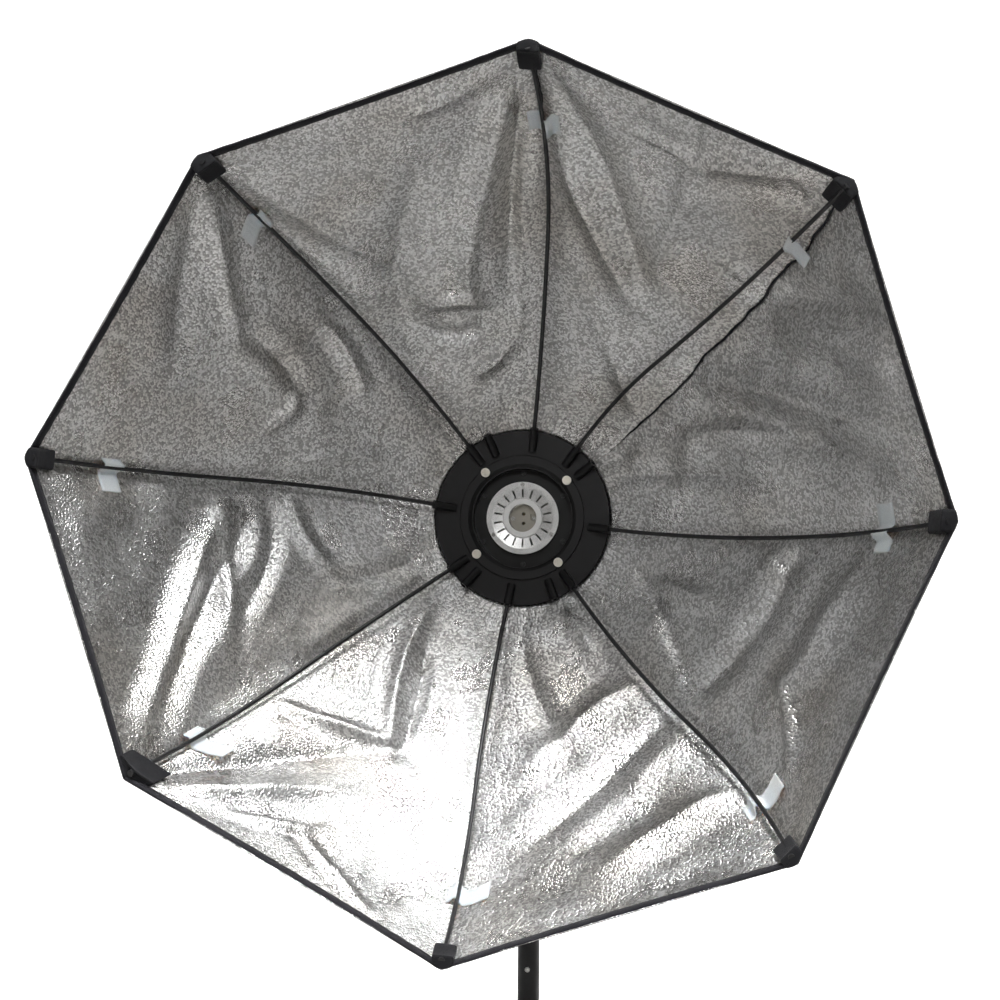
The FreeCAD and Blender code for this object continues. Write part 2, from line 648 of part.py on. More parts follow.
def make_leads():
    leads = []
    for x, z, end_z in ((-6, 4, 16), (6, 4, 12), (0, -5, -15)):
        start = Vector(x, 53.2, z)
        points = [start, start + Vector(0, 8, 0), Vector(x, 92, (z + end_z) / 2), Vector(x, 126, end_z)]
        leads.append(round_bar(points, 1.3)[0])
    feature("inner_leads", Part.makeCompound(leads))


# ---------------------------------------------------------------- speed ring

def socket_line(turn):
    """Start, mouth and direction of a rod socket, from the plate's front face."""
    tilt = math.radians(s.socket_tilt.value)
    angle = math.radians(turn)
    out = Vector(math.sin(angle), 0, math.cos(angle))
    direction = (out * math.cos(tilt) + Vector(0, -math.sin(tilt), 0)).normalize()
    start = out * s.socket_start.value + Vector(0, -s.socket_sink.value, 0)
    reach = (s.socket_mouth.value - s.socket_start.value) / math.cos(tilt)
    return start, start + direction * reach, direction


def octagon_turn(index):
    return s.ring_turn.value + 360 / s.rim_sides.value * index


def box_turns():
    """The four sockets for a rectangular softbox, either side of the plate's vertical."""
    across = s.box_socket_turn.value
    return [s.ring_turn.value + turn for turn in (across, 180 - across, 180 + across, 360 - across)]


def make_speed_ring():
    bore = s.journal_radius + 0.08
    plate = turned("ring_plate", "XY_Plane", [
        (bore, -0.6), (s.ridge_inner, -s.ridge_rise), (s.ridge_outer - 0.8, -s.ridge_rise),
        (s.ridge_outer, -s.ridge_rise + 0.8), (s.ridge_outer, 0), (s.plate_radius - 0.6, 0),
        (s.plate_radius, 0.6), (s.plate_radius, s.plate_thick), (bore, s.plate_thick)])
    place(plate, head_at())
    sleeves, bores = [], []
    turns = [octagon_turn(i) for i in range(int(s.rim_sides.value))] + box_turns()
    for number, turn in enumerate(turns):
        start, mouth, direction = socket_line(turn)
        at = head_at(*start)
        length = (mouth - start).Length
        sleeves.append(rod(f"socket{number}", s.socket_radius, length, at, direction))
        end = doc.addObject("Part::Sphere", f"socket_end{number}")
        bind(end, "Radius", s.socket_radius)
        sleeves.append(place(end, at))
        bores.append(rod(f"socket_bore{number}", s.socket_bore, length + 1, at, direction))
    for number in range(4):
        x, z = on_clock(s.screw_circle, s.ring_turn + s.screw_turn + 90 * number)
        bores.append(rod(f"plate_hole{number}", s.screw_shank_radius, 12, head_at(x, -6, z), (0, 1, 0)))
    whole = cut("ring_plate_bored", fuse("ring_plate_sleeved", [plate] + sleeves), bores)
    # nothing stands proud of the plate's back, where the retainer seats
    back = turned("plate_back", "XY_Plane", [
        (0, s.plate_thick), (s.plate_radius + 8, s.plate_thick), (s.plate_radius + 8, 12), (0, 12)])
    keep(cut("ring_plate_flat", whole, [place(back, head_at())]), "speed_ring_plate")

    step = s.flange_front + s.flange_thick + 0.3
    retainer = turned("retainer", "XY_Plane", [
        (s.flange_radius + 0.4, s.plate_thick), (s.retainer_radius, s.plate_thick),
        (s.retainer_radius, step + 2.6), (s.retainer_lip_bore, step + 2.6),
        (s.retainer_lip_bore, step), (s.flange_radius + 0.4, step)])
    place(retainer, head_at())
    threads, screws = [], []
    for number in range(4):
        x, z = on_clock(s.screw_circle, s.ring_turn + s.screw_turn + 90 * number)
        threads.append(rod(f"thread{number}", s.screw_shank_radius, 20, head_at(x, 0, z), (0, 1, 0)))
        screws.append(pan_screw(f"plate_screw{number}", head_at(x, -s.ridge_rise, z), (0, 1, 0),
                                s.screw_head_radius, s.screw_head_rise, s.screw_shank_radius, 11))
    keep(cut("retainer_tapped", retainer, threads), "ring_retainer")
    keep(group("plate_screw_set", screws), "plate_screws")

    sleeve = turned("sleeve", "XY_Plane", [(88.4, 3.2), (90.4, 3.2), (76, 24), (74, 24)])
    keep(place(sleeve, head_at()), "neck_sleeve")
    elastic = doc.addObject("Part::Torus", "elastic")
    elastic.Radius1 = 76
    elastic.Radius2 = 1.7
    keep(place(elastic, head_at(0, 26, 0), Rotation(Vector(1, 0, 0), 90)), "neck_elastic")


# ---------------------------------------------------------------- softbox

def side_profile(u):
    """Radius and depth of the fabric's corner line, from the ring (0) to the rim (1): one arc."""
    start = Vector(s.fabric_start.value, 2, 0)
    end = Vector(s.rim_radius.value, -s.softbox_depth.value, 0)
    chord = end - start
    bulge = s.fabric_bulge.value
    radius = (chord.Length ** 2 / 4 + bulge ** 2) / (2 * bulge)
    half = math.asin(chord.Length / 2 / radius)
    along = chord.Length / 2 + radius * math.sin(half * (2 * u - 1))
    out = radius * math.cos(half * (2 * u - 1)) - radius * math.cos(half)
    unit = Vector(chord).normalize()
    normal = Vector(-unit.y, unit.x, 0)
    point = start + unit * along + normal * out
    return point.x, point.y


def corner_turn(index, u):
    """Clockwise angle of a corner line: the rim lags the ring a little."""
    index = index % len(CORNERS)
    return octagon_turn(index) + (s.rim_lag.value + CORNER_TURN[index]) * u


def corner_point(index, u):
    index = index % len(CORNERS)
    radius, depth = side_profile(u)
    radius += CORNER_OUT[index] * u
    angle = math.radians(corner_turn(index, u))
    return Vector(radius * math.sin(angle), depth, radius * math.cos(angle))


def inward_at(index, u):
    """Unit vectors at a corner line: along it to the rim, and square to it into the softbox."""
    along = (corner_point(index, u + 0.01) - corner_point(index, u - 0.01)).normalize()
    angle = math.radians(corner_turn(index, u))
    across = Vector(math.cos(angle), 0, -math.sin(angle))
    inward = across.cross(along).normalize()
    radial = Vector(math.sin(angle), 0, math.cos(angle))
    return along, across, inward if inward.dot(radial) < 0 else inward * -1


def strip(first, second, stations, thick, gap):
    """A thin bent panel between two corner lines, its inner face on them."""
    wires = []
    for u in stations:
        a, b = corner_point(first, u), corner_point(second, u)
        chord = (b - a).normalize()
        ahead = (corner_point(first, u + 0.01) + corner_point(second, u + 0.01)
                 - corner_point(first, u - 0.01) - corner_point(second, u - 0.01))
        outward = chord.cross(ahead).normalize()
        if outward.dot(Vector(a.x + b.x, 0, a.z + b.z)) < 0:
            outward = outward * -1
        a, b = a + chord * gap, b - chord * gap
        wires.append(Part.makePolygon([a, b, b + outward * thick, a + outward * thick, a]))
    return Part.makeLoft(wires, True, True)


def rod_path(index):
    """Points of a spring rod: socket bottom, socket mouth, bowed middle, tip."""
    corner = CORNERS[index]
    turn = box_turns()[0] if corner == MISPLUGGED else octagon_turn(index)
    start, mouth, direction = socket_line(turn)
    along, across, inward = inward_at(index, 1)
    tip = corner_point(index, 1) + inward * s.rod_tip_inset.value - along * s.rod_tip_stop.value
    share = ROD_BOW_AT[index]
    middle = mouth * (1 - share) + tip * share
    middle_turn = math.atan2(middle.x, middle.z)
    radius, depth = side_profile(share)
    ahead = side_profile(share + 0.01)
    slope = Vector(ahead[0] - radius, ahead[1] - depth, 0).normalize()
    # the further the rod lies from the corner, the nearer the flat of the fabric comes to it
    swing = math.radians(corner_turn(index, share)) - middle_turn
    swing = (swing + math.pi) % (2 * math.pi) - math.pi
    offset = abs(ROD_BOW[index] - radius * swing)
    inset = s.rod_mid_inset.value + offset * ROD_CLEARANCE_SLOPE
    radius += CORNER_OUT[index] * share + inset * slope.y
    depth -= inset * slope.x
    sideways = Vector(math.cos(middle_turn), 0, -math.sin(middle_turn)) * ROD_BOW[index]
    out = Vector(math.sin(middle_turn), 0, math.cos(middle_turn))
    return [start, mouth, out * radius + Vector(0, depth, 0) + sideways, tip]


def pocket_at(index, tip, heading):
    """A corner pocket: a wedge under the corner with a blind hole for the rod's capped tip."""
    along, across, inward = inward_at(index, 1)
    corner = corner_point(index, 1)
    half = s.pocket_width.value / 2
    ridge, thick = 1.2, 10.4
    shoulder = ridge + half * 0.46
    section = [(-half, shoulder), (0, ridge), (half, shoulder), (half, thick), (-half, thick)]
    section.append(section[0])
    points = [corner + across * a + inward * b for a, b in section]
    block = Part.Face(Part.makePolygon(points)).extrude(along * -s.pocket_length.value)
    hole = Part.makeCylinder(3.1, s.pocket_length.value + 4, tip + heading * 2.2, heading * -1)
    return block.cut(hole)


def make_softbox():
    count = len(CORNERS)
    pockets, caps, ties, tapes = [], [], [], []
    for index, corner in enumerate(CORNERS):
        points = rod_path(index)
        bar, heading = round_bar(points, s.rod_radius.value)
        feature(f"rod_{corner}", bar)
        tip = points[-1]
        pockets.append(pocket_at(index, tip, heading))
        cap = Part.makeCylinder(2.9, 6, tip + heading * 1.8, heading * -1)
        caps.append(cap.cut(Part.makeCylinder(s.rod_radius.value + 0.1, 6, tip, heading * -1)))

        # the hook-and-loop tie crosses the rod on its inner side
        reach = s.tie_from_tip.value
        along, across, inward = inward_at(index, 0.8)
        edge = arc_through(points[1], (points[1] - points[0]).normalize(), points[2])
        bow = arc_through(points[2], edge[1], points[3])[0]
        at = bow.valueAt(bow.getParameterByLength(bow.Length - reach))
        half, lift = s.tie_length.value / 2, s.rod_radius.value + 0.5
        outer = [(-half, lift + 2.6), (-4, lift), (4, lift), (half, lift + 2.6)]
        outline = outer + [(a, b + 1.4) for a, b in reversed(outer)] + outer[:1]
        face = Part.Face(Part.makePolygon([at + across * a + inward * b for a, b in outline]))
        ties.append(face.extrude(along * s.tie_width.value))

        tapes.append(strip(index, index + 1, BINDING_REACH, s.binding_thick.value,
                           s.binding_gap.value))
    stations = [k / 5 * PANEL_REACH for k in range(6)]
    for index in range(count):
        feature(PANELS[index], strip(index, index + 1, stations, s.panel_thick.value, s.seam_gap.value))
    feature("corner_pockets", Part.makeCompound(pockets))
    feature("rod_tip_caps", Part.makeCompound(caps))
    feature("rod_ties", Part.makeCompound(ties))
    feature("rim_binding", Part.makeCompound(tapes))


make_stand()
make_yoke()
make_housing()
make_bezel()
make_disc()
make_lampholder()
make_rear()
make_leads()
make_speed_ring()
make_softbox()
doc.recompute()

for obj in doc.Objects:
    if "Invalid" in obj.State or "Error" in obj.State:
        raise RuntimeError(f"{obj.Name} ({obj.Label}) failed: {obj.State}")
for obj in nodes:
    if obj.Shape.isNull() or not obj.Shape.isValid() or not obj.Shape.Solids:
        raise RuntimeError(f"{obj.Label} has no valid solid")
for obj in nodes:
    obj.Shape.exportStep(f"parts/{obj.Label}.step")
print(len(nodes), "nodes written")
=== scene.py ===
import json
import math

import bpy
import numpy as np
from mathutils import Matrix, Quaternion, Vector, noise


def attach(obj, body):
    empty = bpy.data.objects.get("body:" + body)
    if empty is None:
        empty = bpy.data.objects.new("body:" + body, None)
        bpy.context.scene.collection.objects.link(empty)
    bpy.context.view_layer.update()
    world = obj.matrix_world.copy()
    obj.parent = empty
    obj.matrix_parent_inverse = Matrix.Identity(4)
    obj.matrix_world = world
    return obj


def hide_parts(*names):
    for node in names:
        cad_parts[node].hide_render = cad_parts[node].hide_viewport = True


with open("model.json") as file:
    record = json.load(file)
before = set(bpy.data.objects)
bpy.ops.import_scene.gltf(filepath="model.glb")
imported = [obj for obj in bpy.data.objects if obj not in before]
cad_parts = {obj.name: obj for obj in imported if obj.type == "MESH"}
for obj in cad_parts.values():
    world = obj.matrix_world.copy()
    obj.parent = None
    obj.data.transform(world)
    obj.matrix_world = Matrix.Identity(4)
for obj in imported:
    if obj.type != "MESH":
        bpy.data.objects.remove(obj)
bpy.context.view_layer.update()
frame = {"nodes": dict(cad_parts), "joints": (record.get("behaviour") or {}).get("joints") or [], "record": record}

# ---------------------------------------------------------------- the frame, in metres and degrees
HUB = Vector(next(j for j in frame["joints"] if j["name"] == "ring_turn")["pos_m"])
CORNERS = ("top", "upper_right", "right", "lower_right", "bottom", "lower_left", "left", "upper_left")
PANELS = ("top_right", "right_upper", "right_lower", "bottom_right",
          "bottom_left", "left_lower", "left_upper", "top_left")
MISPLUGGED = CORNERS.index("upper_right")
CLOTH_START = (0.0975, 0.002)          # radius and depth where the cloth leaves the ring
CLOTH_RIM = (0.400, -0.280)            # radius and depth of the rim corners
CLOTH_BULGE = 0.032
RING_TURN = 8.4
RIM_TURN = -3.6
CORNER_TURN = (0.5, 0.5, -0.6, -0.1, -0.3, 1.4, -0.5, -0.7)
CORNER_OUT = (-0.006, 0.006, -0.006, 0.004, 0.002, -0.003, 0.009, -0.006)
CLOTH_THICK = 0.0006
SEAM_LENGTH = 0.43                      # along a seam, from the ring to the rim


def side_profile(u):
    """Radius and depth of a corner line, u from 0 at the ring to 1 at the rim."""
    (r0, y0), (r1, y1) = CLOTH_START, CLOTH_RIM
    chord = math.hypot(r1 - r0, y1 - y0)
    radius = (chord ** 2 / 4 + CLOTH_BULGE ** 2) / (2 * CLOTH_BULGE)
    normal = Vector((-(y1 - y0), r1 - r0)) / chord
    centre = Vector(((r0 + r1) / 2, (y0 + y1) / 2)) - normal * (radius - CLOTH_BULGE)
    start = Vector((r0, y0)) - centre
    end = Vector((r1, y1)) - centre
    turn = u * start.angle_signed(end)
    c, s = math.cos(-turn), math.sin(-turn)
    return centre.x + c * start.x - s * start.y, centre.y + s * start.x + c * start.y


def polar(radius, turn, depth):
    """A point round the lamp axis: turn is clockwise from straight up, as seen from the front."""
    a = math.radians(turn)
    return HUB + Vector((radius * math.sin(a), depth, radius * math.cos(a)))


def corner_turn(i, u):
    i %= 8
    return RING_TURN + 45 * i + (RIM_TURN + CORNER_TURN[i]) * u


def rod_line(corner):
    """Centres of the rings of vertices along a CAD rod, from the hub outwards: (radius, turn, point)."""
    points = [v.co - HUB for v in frame["nodes"]["rod_" + corner].data.vertices]
    points.sort(key=lambda p: math.hypot(p.x, p.z))
    rings = [[points[0]]]
    for before, p in zip(points, points[1:]):
        if math.hypot(p.x, p.z) - math.hypot(before.x, before.z) > 0.003:
            rings.append([])
        rings[-1].append(p)
    line = []
    for ring in rings:
        centre = sum(ring, Vector()) / len(ring)
        turn = math.degrees(math.atan2(centre.x, centre.z))
        line.append((math.hypot(centre.x, centre.z), turn, centre + HUB))
    return line


ROD_LINES = [rod_line(c) for c in CORNERS]


# ---------------------------------------------------------------- node materials
class Shader:
    """A Principled material with a few short ways to wire procedural detail into it."""

    def __init__(self, name, colour, metallic=0.0, roughness=0.5, **constants):
        self.material = bpy.data.materials.new(name)
        self.material.use_nodes = True
        self.tree = self.material.node_tree
        self.shader = self.tree.nodes["Principled BSDF"]
        self.shader.inputs["Base Color"].default_value = (*colour, 1)
        self.shader.inputs["Metallic"].default_value = metallic
        self.shader.inputs["Roughness"].default_value = roughness
        for socket, value in constants.items():
            self.shader.inputs[socket.replace("_", " ")].default_value = value
        self.material.diffuse_color = (*colour, 1)

    def node(self, kind, **inputs):
        made = self.tree.nodes.new(kind)
        for socket, value in inputs.items():
            self.set(made, socket.replace("_", " "), value)
        return made

    def set(self, node, socket, value):
        if isinstance(value, bpy.types.NodeSocket):
            self.tree.links.new(value, node.inputs[socket])
        else:
            node.inputs[socket].default_value = value

    def place(self, kind="Object", stretch=(1, 1, 1)):
        out = self.node("ShaderNodeTexCoord").outputs[kind]
        if stretch == (1, 1, 1):
            return out
        mapping = self.node("ShaderNodeMapping", Vector=out)
        mapping.inputs["Scale"].default_value = stretch
        return mapping.outputs[0]

    def noise(self, size, detail=3, rough=0.55, at=None):
        """Noise with features about size metres across, 0 to 1."""
        made = self.node("ShaderNodeTexNoise", Vector=at or self.place(), Scale=1 / size, Detail=detail,
                         Roughness=rough)
        return made.outputs["Fac"]

    def cells(self, size, at=None, flat=False):
        """Distance to the middle of each cell about size across, and a number for each cell."""
        made = self.node("ShaderNodeTexVoronoi", Vector=at or self.place(), Scale=1 / size)
        if flat:
            made.voronoi_dimensions = "2D"
        return made.outputs["Distance"], made.outputs["Color"]

    def between(self, value, low, high, to_low=0.0, to_high=1.0):
        made = self.node("ShaderNodeMapRange")
        made.interpolation_type = "SMOOTHSTEP"
        for socket, number in zip(("Value", "From Min", "From Max", "To Min", "To Max"),
                                  (value, low, high, to_low, to_high)):
            self.set(made, socket, number)
        return made.outputs[0]

    def maths(self, operation, a, b=0.0):
        made = self.node("ShaderNodeMath")
        made.operation = operation
        self.set(made, 0, a)
        self.set(made, 1, b)
        return made.outputs[0]

    def blend(self, amount, a, b):
        made = self.node("ShaderNodeMix")
        made.data_type = "RGBA"
        self.set(made, "Factor", amount)
        for index, value in ((6, a), (7, b)):
            if isinstance(value, bpy.types.NodeSocket):
                self.tree.links.new(value, made.inputs[index])
            else:
                made.inputs[index].default_value = (*value, 1)
        return made.outputs[2]

    def colour(self, value):
        self.set(self.shader, "Base Color", value)

    def rough(self, value):
        self.set(self.shader, "Roughness", value)

    def bump(self, *heights):
        """Adds (height, depth in metres) layers of bump, coarse first."""
        normal = None
        for height, depth in heights:
            made = self.node("ShaderNodeBump", Height=height, Strength=1.0, Distance=depth)
            if normal is not None:
                self.tree.links.new(normal, made.inputs["Normal"])
            normal = made.outputs[0]
        self.tree.links.new(normal, self.shader.inputs["Normal"])
        return self.material


PEBBLE_SIZE, PEBBLE_DEPTH = 0.0018, 0.00036
PAINTED_GLINT_LOW = 0.50                       # painted glint: the colour share of the dullest pebbles


def silver_lining():
    """The coated lining: a metal film pressed into irregular pebbles just under 2 mm across, with a painted glint
    of random brightness on each pebble and painted shade in the creases between them.
    """
    m = Shader("silver_lining", (0.8, 0.79, 0.77), metallic=1.0, roughness=0.3)
    dome, glint_cell = m.cells(PEBBLE_SIZE, at=m.place("UV"), flat=True)
    pebble = m.maths("SUBTRACT", 1.0, m.maths("MULTIPLY", m.maths("MULTIPLY", dome, dome), 1.6))
    warp = m.noise(0.014, detail=2)
    fine = m.noise(0.0012, detail=2)
    tarnish = m.between(m.noise(0.12, detail=4), 0.42, 0.70)
    smudge = m.blend(tarnish, (0.96, 0.96, 0.96), (0.80, 0.775, 0.74))
    # painted glints: a random number per pebble sets its colour between the dull share and white, in place of each
    # pebble's own glint
    unlit_pebble = tuple(PAINTED_GLINT_LOW * c for c in (1.0, 0.99, 0.98))
    painted_glints = m.blend(m.between(glint_cell, 0.25, 0.72), unlit_pebble, (1.0, 1.0, 1.0))
    tarnish_and_glints = m.node("ShaderNodeMix")
    tarnish_and_glints.data_type, tarnish_and_glints.blend_type = "RGBA", "MULTIPLY"
    tarnish_and_glints.inputs[0].default_value = 1.0
    m.tree.links.new(smudge, tarnish_and_glints.inputs[6])
    m.tree.links.new(painted_glints, tarnish_and_glints.inputs[7])
    # painted shade: the colour darkens towards dark grey in the creases at each pebble's edge
    m.colour(m.blend(m.between(pebble, 0.20, 0.62, 0.30, 0.0), tarnish_and_glints.outputs[2], (0.22, 0.217, 0.213)))
    m.rough(m.between(m.noise(0.05, detail=3), 0.3, 0.7, 0.25, 0.36))
    return m.bump((warp, 0.0003), (pebble, PEBBLE_DEPTH), (fine, 0.00005))


def nylon(name, colour, pitch=0.0009, sheen=0.08):
    """Plain-woven black nylon: threads both ways, faded in broad soft areas."""
    m = Shader(name, colour, roughness=0.62, Sheen_Weight=sheen, Sheen_Roughness=0.45, Specular_IOR_Level=0.25)
    uv = m.node("ShaderNodeSeparateXYZ", Vector=m.place("UV"))
    k = 2 * math.pi / pitch
    warp, weft = (m.maths("SINE", m.maths("MULTIPLY", uv.outputs[n], k)) for n in (0, 1))
    weave = m.maths("MULTIPLY", warp, weft)
    fade = m.between(m.noise(0.06, detail=4), 0.3, 0.75)
    m.colour(m.blend(fade, colour, tuple(1.6 * c + 0.003 for c in colour)))
    m.rough(m.between(m.noise(0.02), 0.3, 0.7, 0.52, 0.72))
    return m.bump((m.noise(0.009, detail=3), 0.0005), (weave, 0.00012))


def painted(name, colour, low, high, grain, depth, coat=0.0, dust=0.5):
    """Paint or powder coat on metal: fine texture, slightly uneven gloss and light dust."""
    m = Shader(name, colour, roughness=(low + high) / 2, Coat_Weight=coat, Coat_Roughness=0.18)
    haze = m.between(m.noise(0.03, detail=5, rough=0.7), 0.5, 0.8, 0.0, dust)
    m.colour(m.blend(haze, colour, tuple(1.5 * c + 0.006 for c in colour)))
    m.rough(m.between(m.noise(0.012, detail=4), 0.3, 0.7, low, high))
    return m.bump((m.noise(grain, detail=2), depth))


def enamel(name, flat_colour, painted_shade_colour):
    """Glossy black enamel on the speed ring: its flats are dusty and glossier; its sockets and edges are rougher
    and take a darker colour, painted shade chosen by which way they face.
    """
    m = Shader(name, flat_colour, roughness=0.3, Coat_Roughness=0.15)
    facing = m.node("ShaderNodeSeparateXYZ", Vector=m.place("Normal")).outputs[1]
    flat = m.between(m.maths("ABSOLUTE", facing), 0.96, 0.995)
    haze = m.between(m.noise(0.03, detail=4), 0.4, 0.8, 0.0, 0.12)
    # painted shade: faces that do not look straight along the lamp axis take the darker colour
    m.colour(m.blend(haze, m.blend(flat, painted_shade_colour, flat_colour), tuple(2 * c for c in flat_colour)))
    m.rough(m.between(flat, 0.0, 1.0, 0.42, 0.24))
    m.set(m.shader, "Coat Weight", m.between(flat, 0.0, 1.0, 0.05, 0.45))
    m.set(m.shader, "Specular IOR Level", m.between(flat, 0.0, 1.0, 0.25, 0.5))
    return m.bump((m.noise(0.004, detail=2), 0.00003))


def metal(name, colour, low, high, stretch, coat=0.0, metallic=1.0):
    """Bare or plated metal: fine lines drawn along one way and faint stains."""
    m = Shader(name, colour, metallic=metallic, roughness=(low + high) / 2, Coat_Weight=coat)
    lines = m.noise(0.0004, detail=2, at=m.place(stretch=stretch))
    stain = m.between(m.noise(0.008, detail=4), 0.45, 0.75, 0.0, 0.6)
    m.colour(m.blend(stain, colour, tuple(0.72 * c for c in colour)))
    m.rough(m.between(lines, 0.3, 0.7, low, high))
    return m.bump((lines, 0.00002))


def moulded(name, colour, low, high, grain=0.0006, depth=0.00004):
    """Moulded plastic with a spark-eroded texture and handling marks."""
    m = Shader(name, colour, roughness=(low + high) / 2, Specular_IOR_Level=0.5)
    marks = m.between(m.noise(0.011, detail=6, rough=0.7), 0.52, 0.8)
    m.colour(m.blend(marks, colour, tuple(1.7 * c + 0.01 for c in colour)))
    m.rough(m.between(marks, 0.0, 1.0, low, high))
    return m.bump((m.noise(grain, detail=2), depth))


def ceramic(name, colour, spot, low, high, coat):
    """Fired ceramic: small dark specks under a thin or full glaze."""
    m = Shader(name, colour, roughness=(low + high) / 2, Coat_Weight=coat, Coat_Roughness=0.08)
    speck = m.between(m.cells(0.0016)[0], 0.06, 0.16, 0.7, 0.0)
    cloud = m.blend(m.noise(0.006, detail=3), colour, tuple(0.9 * c for c in colour))
    m.colour(m.blend(speck, cloud, spot))
    m.rough(m.between(m.noise(0.003), 0.3, 0.7, low, high))
    return m.bump((m.noise(0.0011, detail=3), 0.00003))


def ribbed(name, colour, pitch, depth):
    """Elastic or woven sleeve with ribs along the piece."""
    m = Shader(name, colour, roughness=0.75, Sheen_Weight=0.3, Sheen_Roughness=0.5)
    uv = m.node("ShaderNodeSeparateXYZ", Vector=m.place("UV"))
    ribs = m.maths("SINE", m.maths("MULTIPLY", uv.outputs[0], 2 * math.pi / pitch))
    m.colour(m.blend(m.noise(0.004, detail=3), colour, tuple(1.7 * c + 0.01 for c in colour)))
    return m.bump((ribs, depth), (m.noise(0.0005), 0.00005))


def hook_tape(name, colour):
    """White hook-and-loop tape: a loose nap of loops, slightly see-through."""
    m = Shader(name, colour, roughness=0.68, Sheen_Weight=0.4, Subsurface_Weight=0.2)
    nap = m.noise(0.0007, detail=3, rough=0.7)
    m.colour(m.blend(m.between(nap, 0.35, 0.65), tuple(0.82 * c for c in colour), colour))
    return m.bump((nap, 0.0003))


LINING = silver_lining()
NYLON = nylon("black_nylon", (0.0085, 0.0085, 0.0105))
BINDING = nylon("binding_tape", (0.0095, 0.009, 0.0125), pitch=0.0014, sheen=0.1)
ELASTIC = ribbed("elastic_band", (0.012, 0.012, 0.013), 0.0012, 0.0003)
TAPE = hook_tape("hook_and_loop", (0.88, 0.88, 0.875))
CAD_FINISHES = {
    "black_steel": painted("powder_coat", (0.011, 0.011, 0.012), 0.42, 0.60, 0.0011, 0.00012),
    "cast_black": painted("cast_paint", (0.013, 0.013, 0.014), 0.45, 0.65, 0.0018, 0.00022),
    # black_enamel's second colour is painted shade for the ring's sockets and edges
    "black_enamel": enamel("black_enamel", (0.0210, 0.0210, 0.0222), (0.0022, 0.0022, 0.0025)),
    "bright_steel": metal("zinc_plate", (0.66, 0.66, 0.64), 0.22, 0.40, (1, 14, 1)),
    "plated_screw": metal("plated_screw", (0.90, 0.86, 0.76), 0.30, 0.46, (1, 6, 1)),
    "dark_screw": painted("blackened_screw", (0.018, 0.018, 0.019), 0.30, 0.45, 0.0008, 0.00004),
    "silver_disc": metal("satin_disc", (0.82, 0.82, 0.81), 0.26, 0.42, (1, 1, 1), coat=0.1, metallic=0.7),
    "white_ceramic": ceramic("white_glaze", (0.93, 0.93, 0.92), (0.72, 0.70, 0.66), 0.16, 0.30, 0.5),
    "cream_ceramic": ceramic("cream_body", (0.42, 0.395, 0.34), (0.20, 0.17, 0.13), 0.48, 0.66, 0.0),
    "brass": metal("brass", (0.80, 0.62, 0.30), 0.20, 0.36, (1, 10, 1)),
    "lead_sleeve": ribbed("lead_sleeve", (0.80, 0.77, 0.70), 0.0012, 0.0002),
    "black_plastic": moulded("black_plastic", (0.012, 0.012, 0.013), 0.44, 0.62),
    "gloss_black": moulded("gloss_plastic", (0.012, 0.012, 0.013), 0.10, 0.30, depth=0.00001),
    "rod_black": painted("rod_lacquer", (0.0045, 0.0045, 0.0052), 0.34, 0.50, 0.0015, 0.00005, coat=0.1),
}
NODE_FINISHES = {   # nodes that differ from the rest of their slot
    # front_bezel's near-black colour is painted shade for the deep recess it forms
    "front_bezel": painted("bezel_enamel_painted_shade", (0.0012, 0.0012, 0.0014), 0.30, 0.40, 0.0040, 0.00003, dust=0.1)}


def finish_cad_nodes():
    """Gives each CAD node that stays its procedural finish."""
    for part in frame["record"]["subparts"]:
        node = frame["nodes"][part["node"]]
        if part["material_slot"] in CAD_FINISHES:
            node.data.materials.clear()
            node.data.materials.append(NODE_FINISHES.get(part["node"], CAD_FINISHES[part["material_slot"]]))


# ---------------------------------------------------------------- mesh helpers
def smooth(x, low, high):
    t = np.clip((np.asarray(x, float) - low) / (high - low), 0, 1)
    return t * t * (3 - 2 * t)


def make(name, points, faces, materials, body="softbox", uvs=None):
    """A smooth-shaded mesh piece that rides on a body, with UVs in metres where they are given per point."""
    mesh = bpy.data.meshes.new(name)
    mesh.from_pydata([tuple(p) for p in points], [], faces)
    for m in materials:
        mesh.materials.append(m)
    mesh.shade_smooth()
    if uvs is not None:
        layer = mesh.uv_layers.new(name="metres")
        for loop in mesh.loops:
            layer.data[loop.index].uv = uvs[loop.vertex_index]
    piece = bpy.data.objects.new(name, mesh)
    bpy.context.scene.collection.objects.link(piece)
    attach(piece, body)
    return piece


def grid_faces(rows, columns, first=0, wrap=False):
    """Quads over rows x columns points; wrap joins the last column to the first."""
    faces = []
    for r in range(rows - 1):
        for c in range(columns if wrap else columns - 1):
            a, b = first + r * columns + c, first + r * columns + (c + 1) % columns
            faces.append((a, b, b + columns, a + columns))
    return faces


def loft(rings, caps=True, first=0):
    """Points, faces and UVs of a closed skin through rings of points."""
    n = len(rings[0])
    points = [p for ring in rings for p in ring]
    faces = grid_faces(len(rings), n, first, wrap=True)
    uvs, along = [], 0.0
    for k, ring in enumerate(rings):
        if k:
            along += (sum(ring, Vector()) / n - sum(rings[k - 1], Vector()) / n).length
        around = 0.0
        for j, p in enumerate(ring):
            if j:
                around += (p - ring[j - 1]).length
            uvs.append((along, around))
    if caps:
        faces.append(tuple(first + j for j in reversed(range(n))))
        faces.append(tuple(first + (len(rings) - 1) * n + j for j in range(n)))
    return points, faces, uvs


def gather(parts):
    """Joins several (points, faces, uvs) into one."""
    points, faces, uvs = [], [], []
    for p, f, t in parts:
        faces += [tuple(i + len(points) for i in face) for face in f]
        points += p
        uvs += t
    return points, faces, uvs


def thicken(piece, thickness, offset, other=0):
    m = piece.modifiers.new("thickness", "SOLIDIFY")
    m.thickness, m.offset = thickness, offset
    m.material_offset = m.material_offset_rim = other
    m.use_even_offset = False


